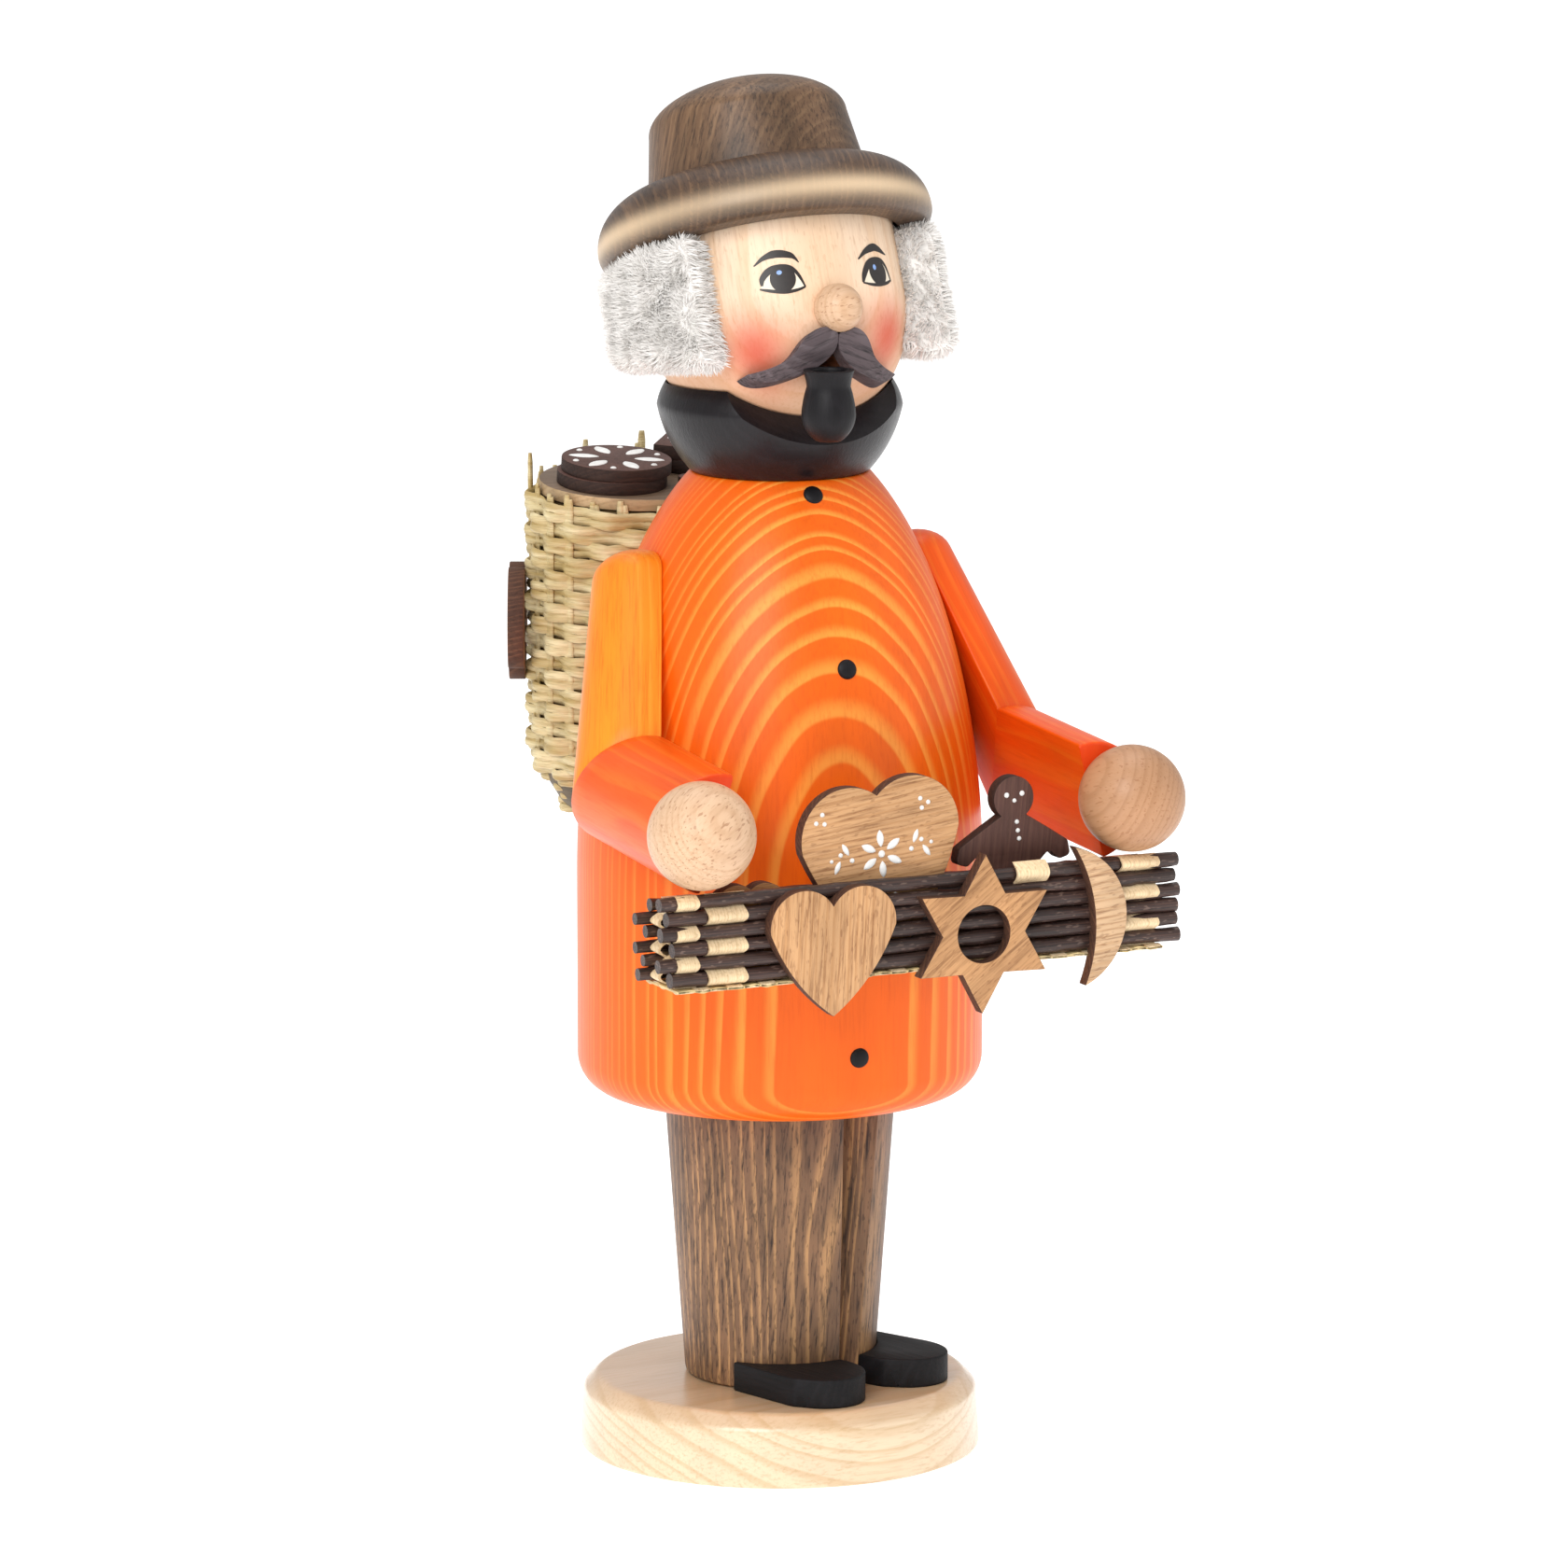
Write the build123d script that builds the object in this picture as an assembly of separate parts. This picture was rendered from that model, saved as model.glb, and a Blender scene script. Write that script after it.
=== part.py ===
from build123d import *
import os
from math import acos, asin, atan, copysign, cos, degrees, pi, radians, sin, sqrt, tan

os.makedirs("parts", exist_ok=True)

# German incense smoker: a turned gingerbread seller with a tray and a back basket.
# Millimetres. Origin on the turning axis at the underside of the base.
# The figure looks along -Y, its left hand is on +X, and +Z is up.

# Fits shared by the pieces
glue_gap = 0.05            # room for glue round a dowel, a seated ball or a sawn piece
soft_gap = 0.3             # room between curved faces that only lie close
spigot_play = 0.08         # running fit of the spigot in the coat, on the radius
overrun = 1.0              # how far a cutting tool runs past a face
tool_size = 200.0          # side of a block that cuts away all that lies beyond a plane
ellipse_steps = 8          # points that a curve follows along an ellipse

# Base plate
base_diameter = 55.0
base_thickness = 10.0
base_draft = 0.4           # the rim is this much smaller at the bevel than at the floor
bevel_height = 1.9
bevel_inset = 2.0

# Legs, turned as one pair of trousers
stand_turn = 20.0          # degrees that the legs are turned under the coat
leg_height = 40.0
leg_bottom_radius = 13.1
leg_top_radius = 15.9
leg_hem = 1.0
crease_reach = 10.3        # from the axis to the bottom of the crease
crease_half_angle = 34.0   # degrees
leg_dowel_diameter = 8.0
leg_dowel_depth = 6.0      # into the base and into the trousers

# Shoes, sawn from board
shoe_thickness = 4.0
shoe_width = 12.4
shoe_length = 17.5
shoe_start = 4.6           # from the axis to the back of the sole
shoe_spread = 6.8          # from the middle plane to the middle of a shoe
shoe_splay = 5.0           # degrees
shoe_toe_share = 0.42      # length of the round toe over the length of the shoe

# Spigot, incense plate and its nail
chamber_diameter = 24.0
spigot_height = 10.0
spigot_chamfer = 0.8
plate_diameter = 21.0
plate_sheet = 0.4
plate_rim = 1.6
nail_diameter = 1.2
nail_depth = 7.0
nail_head_diameter = 3.0
nail_head_height = 0.5

# Coat, turned hollow
coat_diameter = 55.5
coat_height = 85.5
coat_straight_height = 30.0
coat_hem_radius = 5.0
coat_top_radius = 12.15
chamber_height = 66.0
chamber_cone = 4.0         # height of the drill's cone at the top of the chamber
smoke_bore_diameter = 5.5
air_hole_diameter = 4.8
air_hole_height = 16.0     # above the bottom of the coat

# Buttons
button_diameter = 2.7
button_dome = 0.5
button_stem = 2.5
button_offset = 1.6        # from the middle of the coat to the line of buttons
button_height_shares = (0.108, 0.415, 0.72, 0.98)   # of the coat's height

# Collar
collar_height = 12.5
collar_widest_radius = 16.7
collar_widest_share = 0.72  # of the collar's height
collar_rim_radius = 15.2
collar_bulge_share = 0.67  # of the way to the widest circle, that its curves have made at half height
collar_cut_angle = 42.0    # degrees that the front cut leans back
collar_cut_reach = 14.6    # from the axis to the front cut, at half height

# Neck dowel, bored for the smoke
neck_dowel_diameter = 10.0
neck_dowel_depth = 8.0     # into the coat
neck_dowel_rise = 13.5     # above the top of the coat

# Head, tilted back about its own centre
head_diameter = 35.0
head_tilt = 21.0           # degrees
head_centre_lift = 20.0    # above the top of the coat
chin_height = 17.3         # height of the round lower end
chin_start = 1.0           # from the head's centre up to where it begins
chin_flat_share = 0.94     # of the chin's height, where the end is cut flat
head_top = 12.0            # from the head's centre to its flat top
brow_radius = 17.2
temple_share = 0.67        # of the way from the brow's radius to the head's, half way up to the top
mouth_diameter = 5.0
mouth_drop = 3.2           # below the head's centre

# Nose, moustache and pipe
nose_diameter = 6.6
nose_drop = 2.7
nose_seat = 2.8            # how far the ball sits in the face
moustache_span = 11.5      # from the middle to a tip
moustache_thickness = 1.9
moustache_drop = 6.3       # of its middle below the head's centre
moustache_offset = 0.5     # towards the figure's right hand
moustache_tilt = 3.3       # degrees that the right wing is raised
moustache_upper_shares = ((0, 0), (0.19, 0.083), (0.32, 0.04), (0.43, -0.07), (0.52, -0.2), (0.65, -0.28),
                          (0.80, -0.32), (0.943, -0.335))
moustache_lower_shares = ((0.943, -0.335), (0.81, -0.425), (0.65, -0.448), (0.435, -0.413), (0.24, -0.35),
                          (0.113, -0.265), (0.026, -0.165), (0, -0.08))
pipe_height = 9.6
pipe_rim_radius = 3.5
pipe_neck_radius = 2.95
pipe_bowl_radius = 3.65
pipe_foot_radius = 1.6
pipe_bowl_share = 0.37     # of the pipe's height, where the bowl is widest
pipe_neck_share = 0.76     # where it is narrowest
pipe_peg_share = 0.55      # where the peg leaves it
pipe_bore_radius = 2.3
pipe_bore_depth = 3.0
pipe_offset = 3.4          # towards the figure's right hand
pipe_lift = 6.7            # of the pipe's foot above the top of the coat
pipe_reach = 21.8          # from the turning axis to the pipe's own axis
pipe_peg_diameter = 1.6
pipe_peg_length = 10.0     # from the pipe's own axis into the chin

# Hat
brim_diameter = 45.8
brim_start = 10.2          # from the head's centre to the underside
brim_edge_height = 2.4     # from the underside to the widest circle
brim_height = 9.7
brim_lip_radius = 17.8     # of the recess round the forehead
brim_under_radius = 21.0
crown_radius = 14.9
crown_top_radius = 13.6
crown_straight = 7.7
crown_dome = 6.2
hat_dowel_diameter = 6.0
hat_dowel_depth = 4.0      # into the head and into the crown

# Hair, one band of pile round the back of the head
hair_radius = 23.4
hair_top = 9.8             # above the head's centre
hair_bottom = 8.2          # below it, at the band's two ends
hair_rise = 13.0           # degrees that its lower edge climbs to the back
hair_front_angle = 56.0    # degrees from the face's middle to the band's ends
hair_edge = 2.4

# Arms, sawn from half-round moulding and mitred at the elbow
arm_radius = 8.25
shoulder_radius = 6.2      # of the upper arm where it begins, at the shoulder
arm_spread = 15.6          # degrees that the flat backs lean outwards
upper_arm_length = 28.8    # along the front edge
forearm_length = 23.0      # along the top edge
arm_lean = 29.0            # degrees from hanging down to the upper arm
forearm_drop = 4.0         # degrees below level
shoulder_drop = 8.2        # below the top of the coat
shoulder_setback = 1.9     # of the shoulder's front edge before the turning axis
shoulder_seat = 1.0        # depth of the flat planed on the coat
shoulder_round = 4.5
shoulder_dowel_diameter = 4.0
shoulder_dowel_depth = 5.0
shoulder_dowel_share = 0.25   # of the upper arm's length
hand_diameter = 14.4
hand_reach = 3.9           # from the forearm's end to the middle of the hand

# Tray of willow sticks on a mat
tray_length = 72.0
stick_diameter = 2.05
back_stick_diameter = 1.82  # thinner, because the forearms lie on the back row
stick_rows = 6
tray_depth = 7.1           # between the middles of the front and back sticks
stick_overhang = 2.6
stick_end_shares = (0.35, 1, 0.15, 0.8, 0.5, 0.9)
back_row_steps = 3         # how much later in that list the back row begins
mat_thickness = 0.8
mat_margin = 0.9           # that the mat reaches past the sticks at the back
cane_width = 4.4
cane_thickness = 0.5
front_cane_shares = (-0.48, -0.40, 0.45)   # of the tray's length
hook_share = 0.224         # of the tray's length, where a cane only laps the top stick
hook_height = 2.3
back_cane_shares = (-0.45, 0.27, 0.46)

# Sawn goods on and in the tray
goods_board = 2.0
goods_play = 0.25          # room beside a piece that stands in the tray
heart_cleft_share = 0.86   # of the small heart's height
heart_widest_share = 0.68  # of a heart's height
heart_lobe_share = 0.26    # of its width
heart_side_shares = (0.33, 0.35)
small_heart_width = 18.4
small_heart_height = 17.2
small_heart_drop = 5.6     # of the tip below the tray's sticks
star_radius = 10.8
star_inner_share = 0.57
star_hole_diameter = 7.8
star_points = 6
star_turn = 1.0            # degrees
moon_height = 19.0
moon_width = 7.0
moon_hollow = 2.3
moon_turn = 5.0            # degrees
moon_play = 0.6            # room between the moon and the last front cane
large_heart_width = 23.2
large_heart_height = 24.4
large_heart_turn = 6.0     # degrees
large_heart_cleft_share = 0.93
man_height = 23.1
man_arm_span = 17.2
man_corner = 0.7           # radius of his rounded corners
man_side_shares = ((0.22, 0.77), (0.57, 0.69), (0.95, 0.60), (1, 0.51), (0.80, 0.49), (0.62, 0.55),
                   (0.43, 0.48), (0.38, 0.36), (0.56, 0.15), (0.62, 0), (0.20, 0), (0, 0.22))
pretzel_width = 13.6
small_heart_x_share = -0.196    # of the tray's length
star_x_share = 0.113
large_heart_x_share = -0.045
man_x_share = 0.223
pretzel_x_share = -0.335
star_height_share = 0.29   # of the tray's height, to the middle of the piece
moon_height_share = 0.38
loop_width_share = 0.29    # half width of a pretzel's loop over the pretzel's width
loop_height_share = 0.40
loop_place_share = 0.22
loop_turn = 24.0           # degrees
loop_wall_share = 0.15
loop_hole_share = 0.25     # of the wall, that the loops' holes lie further apart than the loops

# Basket, plaited, on the back
basket_width = 35.4
basket_depth = 29.0
basket_height = 45.2
basket_round_share = 0.21  # of the basket's height
basket_foot_share = 0.70   # of its width and depth
basket_belly_share = 0.90
basket_wall = 2.2
basket_top_drop = 8.3      # below the top of the coat
basket_lean = 6.0          # degrees that its top leans towards the coat
stake_count = 22
stake_diameter = 1.3
stake_stub = 5.0
stake_stub_shares = (0.3, 0.5, 0.3, 0.4, 1, 0.3, 0.9, 0.3, 0.4, 0.95, 0.3,
                     0.2, 0.3, 0.2, 0.3, 0.2, 0.2, 0.3, 0.5, 0.3, 0.6, 0.3)
board_thickness = 1.7
board_seat = 0.35          # how far the board lies on the basket's wall

# Gingerbread on the basket
disc_diameter = 15.4
disc_thickness = 1.8
disc_slip = 0.6            # of the upper disc beside the lower one
disc_x_share = -0.180      # of the basket's width
disc_y_share = -0.05       # of the basket's depth
diamond_width = 9.0
diamond_thickness = 2.0
diamond_turn = 6.0         # degrees between the upper lozenge and the lower one
diamond_x_share = 0.235
diamond_y_share = 0.13
biscuit_width = 6.0
biscuit_thickness = 1.8
biscuit_x_share = 0.12
biscuit_y_share = -0.30
side_pretzel_width = 18.0
side_pretzel_board = 2.3
side_pretzel_turn = 154.0  # degrees from +X to the way that it faces
side_pretzel_share = 0.62  # of the basket's height


# Places that follow from the sizes
leg_top = base_thickness + leg_height
coat_top = leg_top + coat_height
coat_radius = coat_diameter / 2
chamber_radius = chamber_diameter / 2
chamber_top = leg_top + chamber_height
shoulder_start = leg_top + coat_straight_height
shoulder_rise = coat_height - coat_straight_height
shoulder_axis = shoulder_rise / sqrt(1 - (coat_top_radius / coat_radius) ** 2)
spigot_top = leg_top + spigot_height
plate_top = spigot_top + plate_sheet
smoke_radius = smoke_bore_diameter / 2
head_radius = head_diameter / 2
head_centre = coat_top + head_centre_lift
head_tilt_angle = radians(head_tilt)
head_frame = Plane(
    origin=(0, 0, head_centre),
    x_dir=(1, 0, 0),
    z_dir=(0, sin(head_tilt_angle), cos(head_tilt_angle)),
)
mouth_height = head_centre - mouth_drop
pipe_foot = coat_top + pipe_lift
brim_top = brim_start + brim_height


def write_node(name, shapes):
    """Writes one named piece, made of one or more solids, to its own file."""
    solids = []
    for shape in shapes:
        solids.extend(shape.solids())
    body = solids[0] if len(solids) == 1 else Compound(children=solids)
    body.label = name
    export_step(body, "parts/" + name + ".step")


def rod(radius, height, at=(0, 0, 0)):
    """A round bar that stands on the point at."""
    return Pos(*at) * Cylinder(radius, height, align=(Align.CENTER, Align.CENTER, Align.MIN))


def outline(points):
    """Straight edges from each point to the next."""
    return [Line(a, b) for a, b in zip(points, points[1:])]


def turned(edges):
    """Turns a closed outline of (radius, height) about Z."""
    return revolve(Plane.XZ * make_face(Wire(edges)), Axis.Z)


def arc_between(centre, x_radius, y_radius, start, end):
    """Part of a circle or an ellipse, from one angle in degrees to another."""
    def spot(share):
        angle = radians(start + (end - start) * share)
        return centre[0] + x_radius * cos(angle), centre[1] + y_radius * sin(angle)

    if x_radius == y_radius:
        return ThreePointArc(spot(0), spot(1 / 2), spot(1))
    points = [spot(k / ellipse_steps) for k in range(ellipse_steps + 1)]
    way = copysign(1, end - start)
    ends = [(-way * x_radius * sin(radians(a)), way * y_radius * cos(radians(a))) for a in (start, end)]
    return Spline(*points, tangents=ends)


def coat_radius_at(height):
    """Outer radius of the coat at a height above the floor."""
    above = max(0, height - shoulder_start)
    return coat_radius * sqrt(1 - (above / shoulder_axis) ** 2)


# Base plate, with a blind hole for the leg dowel
def base_plate():
    rim = base_diameter / 2
    bevel_start = base_thickness - bevel_height
    plate = turned(outline([
        (0, 0),
        (rim, 0),
        (rim - base_draft, bevel_start),
        (rim - base_draft - bevel_inset, base_thickness),
        (0, base_thickness),
        (0, 0),
    ]))
    hole = rod(leg_dowel_diameter / 2 + glue_gap, leg_dowel_depth + overrun,
               (0, 0, base_thickness - leg_dowel_depth))
    return plate - hole


def leg_dowel():
    return rod(leg_dowel_diameter / 2, 2 * leg_dowel_depth, (0, 0, base_thickness - leg_dowel_depth))


# Trousers with the spigot that the coat turns on and lifts off
def trousers():
    spigot_radius = chamber_radius - spigot_play
    body = turned(outline([
        (0, base_thickness),
        (leg_bottom_radius - leg_hem, base_thickness),
        (leg_bottom_radius, base_thickness + leg_hem),
        (leg_top_radius, leg_top),
        (spigot_radius, leg_top),
        (spigot_radius, spigot_top - spigot_chamfer),
        (spigot_radius - spigot_chamfer, spigot_top),
        (0, spigot_top),
        (0, base_thickness),
    ]))
    mouth = leg_top_radius + overrun
    half = (mouth - crease_reach) * tan(radians(crease_half_angle))
    corners = [(0, -crease_reach), (half, -mouth), (-half, -mouth), (0, -crease_reach)]
    wedge = make_face(Wire(outline(corners)))
    crease = Pos(0, 0, base_thickness) * extrude(wedge, leg_height)
    hole = rod(leg_dowel_diameter / 2 + glue_gap, leg_dowel_depth + overrun,
               (0, 0, base_thickness - overrun))
    nail_hole = rod(nail_diameter / 2 + glue_gap, nail_depth + overrun, (0, 0, spigot_top - nail_depth))
    return Rot(0, 0, stand_turn) * (body - crease - hole - nail_hole)


def shoe(side):
    """A flat shoe with a round toe, hollowed at its heel to fit the trousers."""
    toe = shoe_length * shoe_toe_share
    half = shoe_width / 2
    heel = -shoe_start
    ball = heel - (shoe_length - toe)
    edge = Wire([
        Line((-half, heel), (half, heel)),
        Line((half, heel), (half, ball)),
        arc_between((0, ball), half, toe, 0, -180),
        Line((-half, ball), (-half, heel)),
    ])
    sole = Pos(0, 0, base_thickness) * extrude(make_face(edge), shoe_thickness)
    sole = Pos(side * shoe_spread, 0, 0) * Rot(0, 0, side * shoe_splay) * sole
    leg = turned(outline([
        (0, base_thickness - overrun),
        (leg_bottom_radius + glue_gap, base_thickness - overrun),
        (leg_bottom_radius + glue_gap, base_thickness + leg_hem),
        (leg_top_radius + glue_gap, leg_top),
        (0, leg_top),
        (0, base_thickness - overrun),
    ]))
    return Rot(0, 0, stand_turn) * (sole - leg)


# Incense plate of tin, held by one nail
def incense_plate():
    rim = plate_diameter / 2
    hole = nail_diameter / 2 + glue_gap
    return turned(outline([
        (hole, spigot_top),
        (rim, spigot_top),
        (rim, spigot_top + plate_rim),
        (rim - plate_sheet, spigot_top + plate_rim),
        (rim - plate_sheet, plate_top),
        (hole, plate_top),
        (hole, spigot_top),
    ]))


def plate_nail():
    shank = rod(nail_diameter / 2, nail_depth + plate_sheet, (0, 0, spigot_top - nail_depth))
    return shank + rod(nail_head_diameter / 2, nail_head_height, (0, 0, plate_top))


# Arm frame: the flat backs of the left arm's pieces lie in one plane on the coat's shoulder.
# Its X runs backwards, its Y up along the arm's back, and its Z outwards.
spread_angle = radians(arm_spread)
lean_angle = radians(arm_lean)
drop_angle = radians(forearm_drop)
shoulder_height = coat_top - shoulder_drop
back_reach = sqrt((coat_radius * cos(spread_angle)) ** 2 + (shoulder_axis * sin(spread_angle)) ** 2)
back_rise = (shoulder_height - shoulder_start) * sin(spread_angle)
shoulder_x = (back_reach - shoulder_seat - back_rise) / cos(spread_angle)
arm_frame = Plane(
    origin=(shoulder_x, 0, shoulder_height),
    x_dir=(0, 1, 0),
    z_dir=(cos(spread_angle), 0, sin(spread_angle)),
)
upper_way = Vector(-sin(lean_angle), -cos(lean_angle))
upper_side = Vector(cos(lean_angle), -sin(lean_angle))
fore_way = Vector(-cos(drop_angle), -sin(drop_angle))
fore_side = Vector(sin(drop_angle), -cos(drop_angle))
shoulder_corner = Vector(-shoulder_setback, 0)
elbow_corner = shoulder_corner + upper_way * upper_arm_length
mitre_way = upper_way + fore_way
bend = pi / 2 - drop_angle - lean_angle
elbow_reach = upper_arm_length + 2 * arm_radius * tan(bend / 2)
half_taper = atan(2 * (arm_radius - shoulder_radius) / elbow_reach) / 2
upper_axis = upper_way * cos(half_taper) + upper_side * sin(half_taper)
upper_across = upper_side * cos(half_taper) - upper_way * sin(half_taper)
shoulder_middle = shoulder_corner + upper_across * shoulder_radius
wrist_middle = elbow_corner + fore_side * arm_radius + fore_way * forearm_length
hand_middle = wrist_middle + fore_way * hand_reach + Vector(0, 0, arm_radius / 2)
hand_spot = arm_frame.from_local_coords(hand_middle)
hand_radius = hand_diameter / 2


def moulding(start, way, length, radius, widening=0, dome=0):
    """Half-round bar in the arm frame, from start along way, that widens and may begin with a dome."""
    edges = outline([(0, radius), (length, radius + length * widening), (length, 0), (-dome, 0)])
    if dome:
        edges.append(arc_between((0, 0), dome, radius, 180, 90))
    else:
        edges.append(Line((0, 0), (0, radius)))
    bar = revolve(make_face(Wire(edges)), Axis.X, 180)
    heading = degrees(acos(way.X / way.length))
    return Pos(start.X, start.Y, 0) * Rot(0, 0, -heading) * bar


def mitre(bar, keep):
    return split(bar, Plane(origin=(elbow_corner.X, elbow_corner.Y, 0), z_dir=(mitre_way.X, mitre_way.Y, 0)),
                 keep=keep)


def shoulder_dowel(grow=0):
    spot = shoulder_middle + upper_axis * upper_arm_length * shoulder_dowel_share
    return Pos(spot.X, spot.Y, -shoulder_dowel_depth - grow) * rod(
        shoulder_dowel_diameter / 2 + grow, 2 * (shoulder_dowel_depth + grow))


def upper_arm():
    widening = tan(half_taper)
    start = shoulder_middle + upper_axis * shoulder_round
    radius = shoulder_radius + shoulder_round * widening
    bar = moulding(start, upper_axis, upper_arm_length + 2 * arm_radius, radius, widening, shoulder_round)
    return arm_frame * (mitre(bar, Keep.BOTTOM) - shoulder_dowel(glue_gap))


def hand(grow=0):
    return Pos(hand_middle.X, hand_middle.Y, hand_middle.Z) * Sphere(hand_radius + grow)


def forearm():
    lead = 2 * arm_radius
    start = elbow_corner + fore_side * arm_radius - fore_way * lead
    bar = moulding(start, fore_way, lead + forearm_length, arm_radius)
    return arm_frame * (mitre(bar, Keep.TOP) - hand(glue_gap))


def both(shape):
    """The left arm's piece and its mirror image for the right arm."""
    return shape, mirror(shape, Plane.YZ)


# Coat: the smoke chamber, with the shoulders' flats, the neck hole and the air hole
def coat():
    hem = coat_hem_radius
    top_angle = degrees(asin(shoulder_rise / shoulder_axis))
    edges = outline([(coat_top_radius, coat_top), (smoke_radius, coat_top),
                     (smoke_radius, chamber_top + chamber_cone), (chamber_radius, chamber_top),
                     (chamber_radius, leg_top), (coat_radius - hem, leg_top)])
    edges.append(arc_between((coat_radius - hem, leg_top + hem), hem, hem, -90, 0))
    edges.append(Line((coat_radius, leg_top + hem), (coat_radius, shoulder_start)))
    edges.append(arc_between((0, shoulder_start), coat_radius, shoulder_axis, 0, top_angle))
    body = turned(edges)
    neck_hole = rod(neck_dowel_diameter / 2 + glue_gap, neck_dowel_depth + overrun,
                    (0, 0, coat_top - neck_dowel_depth))
    air_hole = Pos(0, 0, leg_top + air_hole_height) * Rot(-90, 0, 0) * rod(
        air_hole_diameter / 2, coat_radius + overrun)
    flat = arm_frame * Box(tool_size, tool_size, tool_size, align=(Align.CENTER, Align.CENTER, Align.MIN))
    dowel_hole = arm_frame * shoulder_dowel(glue_gap)
    body = body - neck_hole - air_hole
    for tool in both(flat) + both(dowel_hole):
        body = body - tool
    for tool in buttons(glue_gap):
        body = body - tool
    return body


def buttons(grow=0):
    """Small domed studs down the front, each pushed in square to the coat."""
    studs = []
    for share in button_height_shares:
        height = leg_top + coat_height * share
        radius = coat_radius_at(height)
        rise = max(0, height - shoulder_start) * (coat_radius / shoulder_axis) ** 2
        pitch = degrees(asin(rise / sqrt(radius ** 2 + rise ** 2)))
        turn = degrees(asin(button_offset / radius))
        stud = rod(button_diameter / 2 + grow, button_stem + grow, (0, 0, -button_stem - grow))
        if grow:
            stud = stud + rod(button_diameter / 2 + grow, overrun)
        else:
            dome = turned([
                Line((0, 0), (button_diameter / 2, 0)),
                arc_between((0, 0), button_diameter / 2, button_dome, 0, 90),
                Line((0, button_dome), (0, 0)),
            ])
            stud = stud + dome
        studs.append(Rot(0, 0, -turn) * Pos(0, -radius, height) * Rot(90 - pitch, 0, 0) * stud)
    return studs


# Head form, used for the head and for what is fitted round it
def head_form(grow=0):
    """The turned head, or the same form grown on every side."""
    radius = head_radius + grow
    reach = chin_height + grow
    flat = chin_height * chin_flat_share + grow
    cut = asin(flat / reach)
    top = head_top + grow
    brow = brow_radius + grow
    temple = brow + (radius - brow) * temple_share
    edges = [
        Line((0, chin_start - flat), (radius * cos(cut), chin_start - flat)),
        arc_between((0, chin_start), radius, reach, -degrees(cut), 0),
        ThreePointArc((radius, chin_start), (temple, (chin_start + head_top) / 2), (brow, top)),
        Line((brow, top), (0, top)),
        Line((0, top), (0, chin_start - flat)),
    ]
    return head_frame * turned(edges)


def nose(grow=0):
    place = head_radius - nose_seat + nose_diameter / 2
    return head_frame * Pos(0, -place, -nose_drop) * Sphere(nose_diameter / 2 + grow)


def hat_dowel(grow=0):
    length = brim_top - head_top + 2 * hat_dowel_depth
    return head_frame * rod(hat_dowel_diameter / 2 + grow, length + 2 * grow,
                            (0, 0, head_top - hat_dowel_depth - grow))


def neck_dowel():
    length = neck_dowel_depth + neck_dowel_rise
    start = (0, 0, coat_top - neck_dowel_depth)
    return rod(neck_dowel_diameter / 2, length, start) - rod(smoke_radius, length, start)


def head():
    neck_hole = rod(neck_dowel_diameter / 2 + glue_gap, neck_dowel_rise + glue_gap, (0, 0, coat_top))
    smoke = rod(smoke_radius, mouth_height - coat_top + mouth_diameter / 2, (0, 0, coat_top))
    mouth = Pos(0, 0, mouth_height) * Rot(90, 0, 0) * rod(mouth_diameter / 2, head_diameter)
    return head_form() - neck_hole - smoke - mouth - nose(glue_gap) - hat_dowel(glue_gap) - pipe_peg(glue_gap)


def moustache(side):
    """One wing: sawn to its outline, then carved to the face's curve."""
    upper = [(x * moustache_span, y * moustache_span) for x, y in moustache_upper_shares]
    lower = [(x * moustache_span, y * moustache_span) for x, y in moustache_lower_shares]
    edge = make_face(Wire([Spline(*upper), Spline(*lower), Line(lower[-1], upper[0])]))
    wing = Pos(glue_gap, 0, 0) * extrude(Plane.XZ * edge, head_diameter)
    if side < 0:
        wing = mirror(wing, Plane.YZ)
    wing = head_frame * Pos(-moustache_offset, 0, -moustache_drop) * Rot(0, moustache_tilt, 0) * wing
    return wing & (head_form(moustache_thickness) - head_form(glue_gap)) - nose(glue_gap)


def pipe_peg(grow=0):
    height = pipe_foot + pipe_height * pipe_peg_share
    peg = rod(pipe_peg_diameter / 2 + grow, pipe_peg_length + grow)
    return Pos(-pipe_offset, -pipe_reach, height) * Rot(-90, 0, 0) * peg


# Tobacco pipe, turned and blackened, on a peg below the mouth
def pipe():
    floor = pipe_height - pipe_bore_depth
    edges = outline([(pipe_rim_radius, pipe_height), (pipe_bore_radius, pipe_height),
                     (pipe_bore_radius, floor), (0, floor), (0, 0), (pipe_foot_radius, 0)])
    edges.append(Spline(
        (pipe_foot_radius, 0),
        (pipe_bowl_radius, pipe_height * pipe_bowl_share),
        (pipe_neck_radius, pipe_height * pipe_neck_share),
        (pipe_rim_radius, pipe_height),
    ))
    bowl = Pos(-pipe_offset, -pipe_reach, pipe_foot) * turned(edges)
    stem = pipe_peg() - Pos(-pipe_offset, -pipe_reach, pipe_foot + floor) * rod(pipe_bore_radius, pipe_height)
    return bowl + stem


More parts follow.
